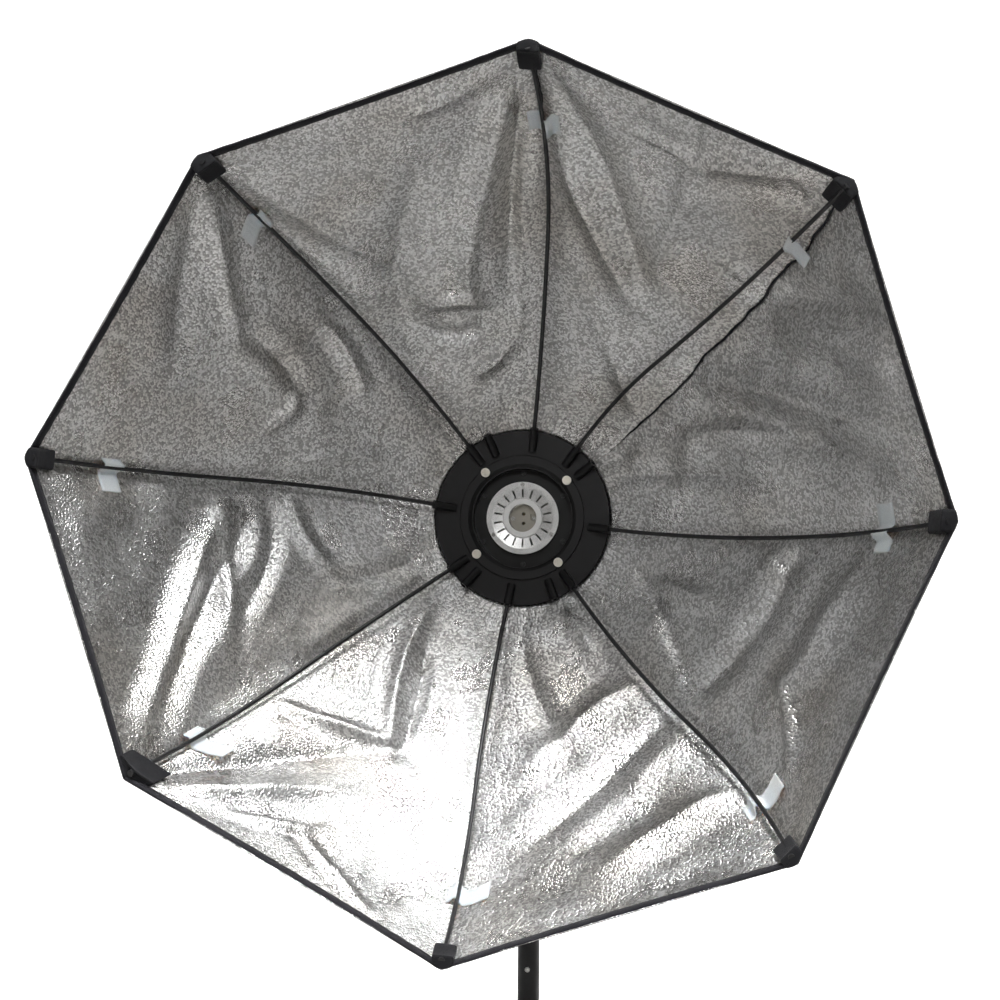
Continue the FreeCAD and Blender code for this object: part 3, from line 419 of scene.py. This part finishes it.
def subdivide(piece, levels):
    m = piece.modifiers.new("smoothing", "SUBSURF")
    m.levels = m.render_levels = levels


# ---------------------------------------------------------------- the cloth bowl
ROWS, COLUMNS = 110, 76
# How the loose seam beside the misplugged rod wanders: waves along it, degrees, phase.
WIGGLE = ((3.1, 0.30, 0.4), (7.3, 0.32, 1.9), (13.7, 0.20, 0.7), (23.0, 0.10, 2.6))
# Folds of each panel: three control points (along 0..1 from ring to rim, across 0..1 clockwise),
# then half-width and height in millimetres; a positive height stands towards the lamp.
FOLDS = {
    "top_left": (
        ((.86, .90), (.76, .80), (.52, .65), 11, 9), ((.87, .95), (.68, .86), (.36, .78), 9, -9),
        ((.54, .66), (.45, .56), (.37, .60), 8, 7), ((.39, .33), (.42, .50), (.35, .69), 7, 8),
        ((.33, .28), (.27, .45), (.30, .60), 7, -8), ((.18, .42), (.18, .62), (.24, .78), 7, 7),
        ((.77, .56), (.53, .33), (.30, .12), 22, -9), ((.80, .935), (.54, .885), (.22, .82), 3.5, 2.5),
        ((.90, .05), (.66, .15), (.50, .34), 12, 5), ((.92, .60), (.93, .78), (.97, .94), 9, 5)),
    "left_upper": (
        ((.95, .96), (.80, .80), (.64, .58), 9, 6), ((.68, .62), (.53, .68), (.43, .50), 8, -7),
        ((.46, .56), (.43, .40), (.50, .24), 8, 7), ((.51, .86), (.39, .87), (.30, .70), 7, 6),
        ((.95, .90), (.84, .66), (.78, .42), 14, -6), ((.36, .16), (.28, .30), (.13, .36), 7, 4)),
    "top_right": (
        ((.96, .05), (.66, .24), (.48, .50), 14, -8), ((.72, .04), (.54, .20), (.42, .54), 10, 6),
        ((.87, .30), (.885, .44), (.855, .58), 4, 4), ((.86, .54), (.93, .55), (.99, .53), 4.5, -3.5),
        ((.86, .54), (.93, .76), (.985, .97), 9, 6), ((.85, .55), (.70, .55), (.53, .52), 10, 5),
        ((.31, .40), (.22, .66), (.14, .95), 9, 4), ((.65, .75), (.64, .83), (.62, .91), 3.5, 3),
        ((.94, .83), (.91, .89), (.87, .95), 4, -3.5)),
    "right_upper": (
        ((.62, .03), (.80, .20), (.99, .40), 15, -8), ((.62, .08), (.78, .32), (.96, .56), 16, 6),
        ((.30, .03), (.57, .40), (.88, .68), 14, 7), ((.32, .16), (.54, .56), (.88, .90), 14, -7),
        ((.26, .30), (.42, .42), (.60, .57), 7, 4), ((.05, .36), (.26, .54), (.46, .74), 7, -4)),
    "right_lower": (
        ((.52, .03), (.53, .42), (.44, .86), 14, -8), ((.45, .08), (.46, .16), (.57, .22), 7, 4),
        ((.16, .38), (.28, .35), (.41, .44), 6, 5), ((.10, .36), (.24, .64), (.42, .84), 7, -4),
        ((.66, .56), (.76, .74), (.90, .94), 8, 5), ((.74, .08), (.74, .40), (.68, .68), 18, 7)),
    "bottom_right": (
        ((.02, .30), (.07, .16), (.17, .20), 8, 5), ((.45, .76), (.30, .34), (.30, .04), 14, 6),
        ((.67, .74), (.46, .30), (.42, .03), 14, -6), ((.85, .56), (.72, .28), (.72, .04), 16, 6),
        ((.08, .80), (.26, .66), (.43, .56), 10, -5)),
    "bottom_left": (
        ((.10, .80), (.27, .66), (.48, .46), 9, 7), ((.20, .60), (.26, .44), (.49, .40), 8, -7),
        ((.94, .97), (.65, .82), (.48, .42), 14, -7), ((.56, .95), (.52, .68), (.46, .42), 6, 6),
        ((.92, .74), (.87, .58), (.80, .48), 5, 5), ((.84, .54), (.93, .38), (.97, .20), 5, 5),
        ((.97, .90), (.80, .74), (.66, .48), 12, 6)),
    "left_lower": (
        ((.97, .03), (.82, .20), (.53, .86), 12, 8), ((.94, .02), (.69, .32), (.46, .82), 11, -8),
        ((.52, .84), (.56, .54), (.63, .24), 9, 7), ((.34, .93), (.36, .66), (.27, .44), 7, 6),
        ((.30, .48), (.17, .26), (.05, .36), 7, -5), ((.41, .92), (.37, .66), (.55, .38), 8, -7)),
}
RANDOM_SHIFT = Vector((3.7, 1.3, 8.1))
TUCK_RADIUS, TUCK_DEPTH, TUCK_LENGTH = 0.0868, 0.0033, 0.030


def seam_point(i, u):
    """Where two panels are sewn together; the seam runs behind its rod, but for the misplugged one."""
    i %= 8
    u = min(max(u, 0.0), 1.0)
    radius, depth = side_profile(u)
    radius += CORNER_OUT[i] * u
    if i == MISPLUGGED:
        turn = corner_turn(i, u)
        turn += math.sin(math.pi * u) ** 0.4 * sum(a * math.sin(w * math.tau * u / 2 + p) for w, a, p in WIGGLE)
        return polar(radius, turn, depth)
    nominal = corner_turn(i, 1)
    known = [(r, nominal + (t - nominal + 180) % 360 - 180) for r, t, _ in ROD_LINES[i] if r > CLOTH_START[0]]
    known.append((CLOTH_RIM[0] + CORNER_OUT[i], nominal))
    turn = np.interp(radius, [r for r, _ in known], [t for _, t in known])
    return polar(radius, turn, depth)


SEAM_U = np.linspace(0, 1, ROWS)
SEAMS = [np.array([seam_point(i, u) for u in SEAM_U]) for i in range(8)]

FOLD_GAIN = 1.2                         # every fold's height is raised by this
FOLD_STEPS = 110                        # points along a fold's line
CREST_ROUND = 0.22                      # how blunt a fold's crest is, as a share of its half-width
TROUGH = 0.22                           # depth of the hollow beside a crest, as a share of its height
# Relief of every panel besides its folds, in metres: height and feature size, or height alone.
SWELL, CRUMPLE, FINE_CRUMPLE = (0.0036, 0.095), (0.0036, 0.070), (0.0010, 0.030)
RING_GATHER, SEAM_PUCKER, RIM_PULL, SAG = 0.0008, 0.00035, 0.0004, 0.004


def fold_height(along, across, folds, length, width):
    """Height of the folds over a panel; along and across are in metres, across counted from the middle line."""
    height = np.zeros_like(along)
    for *controls, half_width, rise in folds:
        half_width, rise = half_width / 1000, rise / 1000
        t = np.linspace(0, 1, FOLD_STEPS)
        weights = ((1 - t) ** 2, 2 * t * (1 - t), t * t)
        line = sum(k[:, None] * np.array(c)[None] for k, c in zip(weights, controls))
        s = np.interp(line[:, 0], SEAM_U, length)
        w = (line[:, 1] - 0.5) * np.interp(line[:, 0], SEAM_U, width)
        gap = (along[..., None] - s) ** 2 + (across[..., None] - w) ** 2
        near = np.argmin(gap, axis=-1)
        x = np.sqrt(np.min(gap, axis=-1)) / half_width
        strength = np.sin(math.pi * (0.04 + 0.92 * t[near])) ** 0.7
        crest = np.exp(-1.5 * (np.sqrt(x ** 2 + CREST_ROUND ** 2) - CREST_ROUND))
        height += FOLD_GAIN * rise * strength * (crest - TROUGH * np.exp(-((x - 2.1) ** 2) / 0.9))
    return height


def noise_field(points, size, octaves=3, shift=0.0):
    return np.array([noise.fractal(Vector(p) / size + RANDOM_SHIFT * (1 + shift), 0.9, 2.1, octaves)
                     for p in points.reshape(-1, 3)]).reshape(points.shape[:-1])


def crumple(points, size, shift=0.0):
    """Creases with rounded crests: the distance from zero of a smooth noise."""
    field = noise_field(points, size, 1, shift)
    return 0.35 - np.sqrt(field ** 2 + 0.004)


def tucked(points, along):
    """The first few centimetres of the lining drawn in to a circle, to lie behind the ring plate."""
    offset = points - np.array(HUB)
    radius = np.hypot(offset[..., 0], offset[..., 2])
    share = 1 - smooth(along, 0.0, TUCK_LENGTH)
    wanted = TUCK_RADIUS + 0.92 * along
    scale = (radius * (1 - share) + wanted * share) / radius
    depth = offset[..., 1] * (1 - share) + (TUCK_DEPTH - 0.36 * along) * share
    return np.stack((offset[..., 0] * scale, depth, offset[..., 2] * scale), axis=-1) + np.array(HUB)


LINING_SKIN = []                        # points and inward normals of each finished panel


def clear_of_lining(i, point, clearance):
    """The point, lifted where the folds of the two panels at corner i would reach above it."""
    for points, normal in (LINING_SKIN[i % 8], LINING_SKIN[i - 1]):
        gap = np.sum((points - np.array(point)) ** 2, axis=-1)
        near = np.unravel_index(np.argmin(gap), gap.shape)
        height = float(np.dot(np.array(point) - points[near], normal[near]))
        if height < clearance:
            point = point + Vector(normal[near]) * (clearance - height)
    return point


def panel_relief(k, points, v, along, across, length, width):
    """How far a panel stands inward of the plain gore: folds, crumples, gathers and puckered seams."""
    to_seam = (0.5 - np.abs(v - 0.5)) * width[:, None]
    to_rim, to_ring = length[-1] - along, along
    free = smooth(to_seam, 0.0, 0.022) * smooth(to_rim, 0.006, 0.034) * smooth(to_ring, 0.004, 0.035)
    rise = fold_height(along, across, FOLDS[PANELS[k]], length, width)
    rise += SWELL[0] * noise_field(points, SWELL[1], 2, k) + CRUMPLE[0] * crumple(points, CRUMPLE[1], k)
    rise += FINE_CRUMPLE[0] * crumple(points, FINE_CRUMPLE[1], k + 9)
    rise *= free
    waves = np.sin(math.tau * (4.5 * v + 0.13 * k) + 2 * noise_field(points, 0.02, 1, k))
    ring_gather = np.exp(-to_ring / 0.035) * waves * smooth(to_seam, 0, 0.01)
    rise += RING_GATHER * ring_gather * smooth(to_ring, 0.0, 0.02)
    pucker = np.exp(-to_seam / 0.007) * np.sin(along * math.tau / 0.0105 + 3 * noise_field(points, 0.03, 1, k))
    rise += SEAM_PUCKER * pucker * smooth(to_seam, 0.0, 0.002) * smooth(to_ring, 0, 0.02)
    rim_pull = np.exp(-to_rim / 0.016) * np.sin(across * math.tau / 0.019 + 4 * noise_field(points, 0.05, 1, k))
    rise += RIM_PULL * rim_pull * smooth(to_rim, 0.005, 0.012) * smooth(to_seam, 0, 0.02)
    return rise


def make_panel(k):
    """One gore of lining: a sheet between two seams, with its relief."""
    name = PANELS[k]
    left, right = SEAMS[k][:, None], SEAMS[(k + 1) % 8][:, None]
    v = np.linspace(0, 1, COLUMNS)[None, :, None]
    points = left * (1 - v) + right * v
    u = np.repeat(SEAM_U[:, None], COLUMNS, axis=1)
    v = np.repeat(v[..., 0], ROWS, axis=0)
    middle = (SEAMS[k] + SEAMS[(k + 1) % 8]) / 2
    length = np.concatenate(([0], np.cumsum(np.linalg.norm(np.diff(middle, axis=0), axis=1))))
    width = np.linalg.norm(SEAMS[(k + 1) % 8] - SEAMS[k], axis=1)
    along = np.repeat(length[:, None], COLUMNS, axis=1)
    across = (v - 0.5) * width[:, None]
    points = tucked(points, along)
    normal = np.cross(np.gradient(points, axis=0), np.gradient(points, axis=1))
    normal /= np.linalg.norm(normal, axis=-1)[..., None]
    inward = np.array(HUB + Vector((0, -0.2, 0))) - points
    normal *= np.sign(np.sum(normal * inward, axis=-1))[..., None]
    rise = panel_relief(k, points, v, along, across, length, width)
    points = points + normal * rise[..., None]
    sag = SAG * np.sin(math.pi * v) * np.sin(math.pi * u) ** 0.8
    points[..., 2] -= sag
    LINING_SKIN.append((points, normal))
    uvs = list(zip(along.ravel(), across.ravel()))
    piece = make("lining_" + name, points.reshape(-1, 3), grid_faces(ROWS, COLUMNS), [LINING, NYLON],
                 uvs=uvs)
    first = piece.data.polygons[COLUMNS * 20]
    if first.normal.dot(Vector(normal[21, 1])) < 0:
        piece.data.flip_normals()
    thicken(piece, CLOTH_THICK, -1.0, other=1)
    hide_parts("panel_" + name)
    return piece


def seam_frame(i, u):
    """Point on a seam, directions towards the rim, along each panel away from the seam, and inward."""
    here = seam_point(i, u)
    along = (seam_point(i, min(u + 0.01, 1)) - seam_point(i, max(u - 0.01, 0))).normalized()
    out = [(seam_point(i + side, u) - here).normalized() for side in (-1, 1)]
    inward = (out[0] + out[1]).normalized()
    return here, along, out, inward


def over_seam(i, u, x, height):
    """A point x metres to one side of the seam (positive is clockwise), raised inward by height."""
    here, _, out, inward = seam_frame(i, u)
    side = out[1] if x > 0 else out[0]
    return here + side * abs(x) + inward * height


SEAM_TAPE = ((-.0055, -.0019), (-.0050, -.0026), (-.002, -.0031), (.002, -.0031), (.0050, -.0026),
             (.0055, -.0019), (.002, -.0016), (-.002, -.0016))    # section: across, inward


def make_seam_tapes():
    """The black tapes sewn over the seams on the outside of the bowl."""
    parts = []
    for i in range(8):
        rings = []
        for u in np.linspace(0.07, 0.985, 70):
            wave = 0.0003 * noise.noise(seam_point(i, u) / 0.02)
            rings.append([over_seam(i, u, x, h + wave) for x, h in SEAM_TAPE])
        parts.append(loft(rings))
    points, faces, uvs = gather(parts)
    return make("seam_tapes", points, faces, [BINDING], uvs=uvs)


RIM_TAPE = ((-.0056, .0005), (-.0052, .0010), (-.0028, .0012), (-.0005, .0012), (.0006, .0008), (.0008, 0),
            (.0007, -.0010), (-.0005, -.0016), (-.0050, -.0015), (-.0078, -.0013), (-.0083, -.0009),
            (-.0080, -.0002))           # section: outward, inward
RIM_STEPS = 64


def make_binding():
    """Folded tape sewn round the rim, panel by panel."""
    parts = []
    for k in range(8):
        rings = []
        for n in range(RIM_STEPS + 1):
            v = n / RIM_STEPS
            edge = [Vector(SEAMS[(k + j) % 8][-1]) for j in (0, 1)]
            before = [Vector(SEAMS[(k + j) % 8][-4]) for j in (0, 1)]
            p = edge[0].lerp(edge[1], v)
            out = (p - before[0].lerp(before[1], v)).normalized()
            inward = out.cross(edge[1] - edge[0]).normalized()
            if inward.y > 0:
                inward = -inward
            jitter = [noise.noise(p / 0.012 + Vector((j, 0, 0))) for j in (0, 5)]
            pull = -0.0020 * math.sin(math.pi * v)
            rings.append([p + out * (x + pull + 0.0004 * jitter[0]) + inward * (h * (1 + 0.15 * jitter[1]))
                          for x, h in RIM_TAPE])
        parts.append(loft(rings))
    points, faces, uvs = gather(parts)
    binding = make("rim_tape", points, faces, [BINDING], uvs=uvs)
    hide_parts("rim_binding")
    return binding


POCKETS = {  # half-width and length of each corner pocket, skew of its mouth
    "top": (.0110, .022, .0), "upper_right": (.0130, .022, .1), "right": (.0105, .021, .0),
    "lower_right": (.0105, .020, .1), "bottom": (.0105, .018, .0), "lower_left": (.0195, .026, .50),
    "left": (.0100, .021, .0), "upper_left": (.0115, .019, -.1)}
# Sections of a pocket: place along its length, then shares of its width and height.
POCKET_STATIONS = ((-.08, .88, .94), (-.05, .97, 1.03), (.05, 1.0, 1.0), (.12, 1.0, 1.0), (.55, 1.0, 1.0),
                   (.88, 1.0, 1.0), (.97, 1.0, 1.0), (1.0, 1.0, 1.0), (1.01, .96, .93), (.98, .90, .80))
POCKET_POINTS = 28                      # round each section
POCKET_ROUND = 0.22                     # how square a section's corners are: 1 is an ellipse
CAP_R = 0.0029
ROD_R = 0.002
ROD_TIP_INSET = 0.004


def make_pockets():
    """Flat nylon flaps folded over the rod tips, sewn down along their sides."""
    parts = []
    for i, corner in enumerate(CORNERS):
        half, length, skew = POCKETS[corner]
        rings = []
        for t, wide, tall in POCKET_STATIONS:
            along = t * length
            u = 1 - max(along, 0) / SEAM_LENGTH
            rod = rod_place(i, max(along - ROD_TIP_INSET, 0))
            here, _, out, inward = seam_frame(i, u)
            top = ((rod - here).dot(inward) + CAP_R + 0.0012) * tall
            flare = out[0].dot(inward)
            ring = []
            for j in range(POCKET_POINTS):
                a = math.tau * j / POCKET_POINTS
                x = half * wide * math.copysign(abs(math.cos(a)) ** POCKET_ROUND, math.cos(a))
                if math.sin(a) > 0:
                    lift = 0.0010 + max(top - flare * abs(x) - 0.0010, 0.0016) * abs(math.sin(a)) ** 0.3
                else:
                    lift = -0.0012 * abs(math.sin(a)) ** 0.5
                here, forward, out, inward = seam_frame(i, u + skew * x / SEAM_LENGTH)
                p = here + out[1 if x > 0 else 0] * abs(x) + inward * lift
                p += (forward * max(-along, 0) + inward * 0.0005 * noise.noise(p / 0.008)
                      + forward * 0.0006 * noise.noise(p / 0.009))
                ring.append(p)
            rings.append(ring)
        parts.append(loft(rings))
    points, faces, uvs = gather(parts)
    pockets = make("corner_pouches", points, faces, [NYLON], uvs=uvs)
    subdivide(pockets, 1)
    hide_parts("corner_pockets")
    return pockets


# Black strips along two seams: seam allowance, and painted shade for the shadow it casts
SEAM_CORDS_AND_SHADE = ((0, 0.17, 0.0017), (MISPLUGGED, 0.92, 0.0015))     # corner, share of the seam, half-width
SEAM_CORD_END = 0.955                   # how far out along the seam a cord starts
SEAM_CORD = ((-1, .0005), (-.8, .0012), (0, .0018), (.8, .0012), (1, .0005), (0, .0004))   # its section


def make_seam_cords_and_shade():
    """Black seam allowances that show inside, short at the top and whole beside the misplugged rod; their black
    also stands in for the shadow the allowances cast, as painted shade.
    """
    parts = []
    for i, reach, half in SEAM_CORDS_AND_SHADE:
        steps = int(160 * reach)
        rings = []
        for n in range(steps + 1):
            u = SEAM_CORD_END - (SEAM_CORD_END - (1 - reach)) * n / steps
            ragged = 0.7 + 0.6 * abs(noise.noise(Vector((n * 0.23, i, 0))))
            wide = half * ragged * min(1, 0.3 + 0.1 * (steps - n))
            drift = 0.0022 * (i == 0) + 0.0016 * noise.noise(Vector((n * 0.16, i, 3)))
            rings.append([clear_of_lining(i, over_seam(i, u, x * wide + drift, h), 0.0004)
                          for x, h in SEAM_CORD])
        parts.append(loft(rings))
    points, faces, uvs = gather(parts)
    return make("seam_cords_and_shade", points, faces, [NYLON], uvs=uvs)


TIES = {  # share of the tab on the clockwise side, slope of each half, length in metres
    "top": (.46, .10, .032), "upper_right": (.88, -.30, .030), "right": (.42, .22, .046),
    "lower_right": (.30, .25, .046), "bottom": (.22, .05, .040), "lower_left": (.20, -.35, .040),
    "left": (.22, .20, .034), "upper_left": (.16, -.10, .032)}
TIE_SPOT = 0.081                        # from the rod's tip along the rod
TIE_WIDTH = 0.0210
TIE_ROWS, TIE_COLUMNS = 6, 26


def rod_place(i, distance):
    """Point on the middle of a rod, distance metres from its tip."""
    points = [p for _, _, p in ROD_LINES[i]][::-1]
    for a, b in zip(points, points[1:]):
        if distance <= (b - a).length:
            return a.lerp(b, distance / (b - a).length)
        distance -= (b - a).length
    return points[-1]


def nearest_u(i, point):
    return min(np.linspace(0.3, 1, 400), key=lambda u: (seam_point(i, u) - point).length)


def make_ties():
    """White tabs sewn to the cloth, each folded over its rod."""
    parts = []
    for i, corner in enumerate(CORNERS):
        share, slope, length = TIES[corner]
        spot = rod_place(i, TIE_SPOT)
        u0 = nearest_u(i, spot)
        here, along, out, inward = seam_frame(i, u0)
        clockwise = (spot - here).dot(out[1])
        aside = clockwise if clockwise > 0 else -(spot - here).dot(out[0])
        over_rod = (spot - here).dot(inward) + ROD_R + 0.0012
        points, uvs = [], []
        for c in range(TIE_COLUMNS):
            x = length * (c / (TIE_COLUMNS - 1) - (1 - share))
            for r in range(TIE_ROWS):
                y = TIE_WIDTH * (r / (TIE_ROWS - 1) - 0.5)
                hill = math.exp(-(abs(x) / 0.0052) ** 2.4)
                curl = 0.0020 * max(0, abs(x) / length - 0.45) / 0.3
                lift = 0.0011 + over_rod * hill + curl + 0.0006 * noise.noise(Vector((x, y, i * .1)) / 0.008)
                u = u0 + (y + slope * abs(x)) / SEAM_LENGTH
                p = over_seam(i, u, x + aside, lift)
                if i == MISPLUGGED:
                    far = over_seam(i, u0 + slope * length / SEAM_LENGTH, length + aside, 0.003)
                    p = spot.lerp(far, x / length) + along * y * 0.7 + inward * (0.0008 + 0.0030 * hill)
                points.append(clear_of_lining(i, p, 0.0012))
                uvs.append((x, y))
        parts.append((points, grid_faces(TIE_COLUMNS, TIE_ROWS), uvs))
    points, faces, uvs = gather(parts)
    ties = make("rod_tabs", points, faces, [TAPE], uvs=uvs)
    thicken(ties, 0.0007, 1.0)
    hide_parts("rod_ties")
    return ties


SLEEVE = ((.0945, .0030), (.0925, .0052), (.0895, .0080), (.0855, .0115), (.0812, .0165), (.0782, .0215),
          (.0768, .0255), (.0775, .0290), (.0800, .0330))         # radius, depth
SLEEVE_POINTS, SLEEVE_PLEATS, PLEAT = 288, 40, (0.0013, 0.0004)   # a pleat stands out and back by these


def make_sleeve():
    """The gathered nylon throat that joins the bowl to the ring, drawn in by an elastic."""
    rings = []
    for r, y in SLEEVE:
        pleat = float(smooth(y, 0.002, 0.022))
        ring = []
        for j in range(SLEEVE_POINTS):
            a = 360 * j / SLEEVE_POINTS
            way = Vector((math.cos(math.radians(a)), math.sin(math.radians(a)), 0))
            wave = math.sin(math.radians(a * SLEEVE_PLEATS) + 1.5 * noise.noise(way * 4))
            ring.append(polar(r + PLEAT[0] * pleat * wave, a, y + PLEAT[1] * pleat * wave))
        rings.append(ring)
    points, faces, uvs = loft(rings, caps=False)
    sleeve = make("throat_sleeve", points, faces, [NYLON], uvs=uvs)
    thicken(sleeve, CLOTH_THICK, 0.0)
    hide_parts("neck_sleeve")
    return sleeve


ELASTIC_STEPS = 160


def make_elastic():
    """The ribbed elastic band in the sleeve's channel."""
    rings = []
    for j in range(ELASTIC_STEPS + 1):
        a = 360 * j / ELASTIC_STEPS
        wobble = 0.0004 * math.sin(math.radians(a * SLEEVE_PLEATS))
        rings.append([polar(0.0792 + wobble + 0.0012 * math.cos(b), a, 0.0255 + 0.0026 * math.sin(b))
                      for b in (math.tau * n / 12 for n in range(12))])
    points, faces, uvs = loft(rings, caps=False)
    band = make("throat_elastic", points, faces, [ELASTIC], uvs=uvs)
    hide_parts("neck_elastic")
    return band


# ---------------------------------------------------------------- the studio
RIM_CENTRE = HUB + Vector((0, CLOTH_RIM[1], 0))
VIEW_FROM = (8.05, -5.83)               # azimuth and elevation of the camera, degrees
VIEW_DISTANCE = 1.6
VIEW_ROLL = 0.5
LENS = 67.7
SHIFT = (0.017, -0.011)
SWEEP_START, SWEEP_RADIUS = 2.2, 1.2    # where the floor starts to curve up, and how tightly
FLOOR_COLOUR, FLOOR_GLOW = (0.50, 0.49, 0.475), (0.0, 0.6, 0.95)
WORLD_LOW, WORLD_HIGH = (0.055, 0.050, 0.045, 1), (0.155, 0.155, 0.155, 1)
GLINTS = (("glint_left", -1.1, 0.30), ("glint_right", 1.0, 0.45), ("glint_middle", 0.15, 0.12))


def stage_material(name, colour, glow_from, glow_to, glow):
    """A matt paint that glows more from one depth to another, as a lit backdrop does."""
    m = Shader(name, colour, roughness=0.9)
    where = m.node("ShaderNodeSeparateXYZ", Vector=m.place("Object")).outputs[1]
    m.set(m.shader, "Emission Strength", m.between(where, glow_from, glow_to, 0.0, glow))
    m.shader.inputs["Emission Color"].default_value = (1, 1, 1, 1)
    return m.material


def make_stage():
    """Pale floor that sweeps up into a backdrop."""
    rows = []
    for k in range(25):
        a = math.radians(90 * k / 24)
        rows.append((SWEEP_START + SWEEP_RADIUS * math.sin(a), SWEEP_RADIUS - SWEEP_RADIUS * math.cos(a)))
    section = [(-6, 0), (-2, 0), (0, 0), (1, 0)] + rows + [(3.4, 5)]
    points = [(x, y, z) for y, z in section for x in (-6, -2, 0, 2, 6)]
    mesh = bpy.data.meshes.new("cyclorama")
    mesh.from_pydata(points, [], grid_faces(len(section), 5))
    mesh.shade_smooth()
    mesh.materials.append(stage_material("pale_floor", FLOOR_COLOUR, *FLOOR_GLOW))
    floor = bpy.data.objects.new("cyclorama", mesh)
    bpy.context.scene.collection.objects.link(floor)


def area_light(name, place, target, size, watts, spread=180):
    light = bpy.data.lights.new(name, "AREA")
    light.spread = math.radians(spread)
    light.shape, light.size, light.size_y = "RECTANGLE", *size
    light.energy = watts
    lamp = bpy.data.objects.new(name, light)
    lamp.location = place
    lamp.rotation_mode = "QUATERNION"
    lamp.rotation_quaternion = (Vector(target) - Vector(place)).to_track_quat("-Z", "Y")
    bpy.context.scene.collection.objects.link(lamp)


def make_lights():
    area_light("key", (0.3, -2.4, 1.6), HUB, (0.9, 0.6), 0.5, spread=30)
    area_light("overhead", (0.35, -1.05, 2.5), RIM_CENTRE, (2.0, 1.3), 11.5, spread=30)
    area_light("side", (-2.0, -1.5, 0.9), RIM_CENTRE, (0.9, 0.9), 2.5)
    for name, x, z in GLINTS:
        area_light(name, (x, -1.9, z), RIM_CENTRE, (0.16, 0.16), 0.4)
    area_light("back", (0, 1.2, 3.2), (0, 2.8, 0.6), (3.0, 1.0), 60)
    area_light("tail", (-1.6, 1.4, 1.2), (0, 0, 0.5), (1.2, 1.2), 8)
    world = bpy.data.worlds.new("studio")
    bpy.context.scene.world = world
    world.use_nodes = True
    tree = world.node_tree
    way = tree.nodes.new("ShaderNodeSeparateXYZ")
    tree.links.new(tree.nodes.new("ShaderNodeTexCoord").outputs["Generated"], way.inputs[0])
    ramp = tree.nodes.new("ShaderNodeValToRGB")
    tree.links.new(way.outputs["Z"], ramp.inputs[0])
    for end, place, colour in zip(ramp.color_ramp.elements, (0.0, 0.8), (WORLD_LOW, WORLD_HIGH)):
        end.position, end.color = place, colour
    tree.links.new(ramp.outputs[0], tree.nodes["Background"].inputs["Color"])
    tree.nodes["Background"].inputs["Strength"].default_value = 1.0


def make_camera():
    azimuth, elevation = (math.radians(a) for a in VIEW_FROM)
    back = Vector((math.sin(azimuth) * math.cos(elevation), -math.cos(azimuth) * math.cos(elevation),
                   math.sin(elevation)))
    data = bpy.data.cameras.new("camera")
    data.lens, data.sensor_width = LENS, 36
    data.shift_x, data.shift_y = SHIFT
    data.clip_end = 50
    camera = bpy.data.objects.new("camera", data)
    camera.location = RIM_CENTRE + back * VIEW_DISTANCE
    camera.rotation_mode = "QUATERNION"
    roll = Quaternion((0, 0, 1), math.radians(VIEW_ROLL))
    camera.rotation_quaternion = (-back).to_track_quat("-Z", "Y") @ roll
    bpy.context.scene.collection.objects.link(camera)
    bpy.context.scene.camera = camera


def show_plainly():
    """A straight display response, so that the pale floor stays pale."""
    bpy.context.scene.view_settings.view_transform = "Standard"


# ---------------------------------------------------------------- build
finish_cad_nodes()
for k in range(8):
    make_panel(k)
make_seam_tapes()
make_binding()
make_pockets()
make_seam_cords_and_shade()
make_ties()
make_sleeve()
make_elastic()
make_stage()
make_lights()
make_camera()
show_plainly()
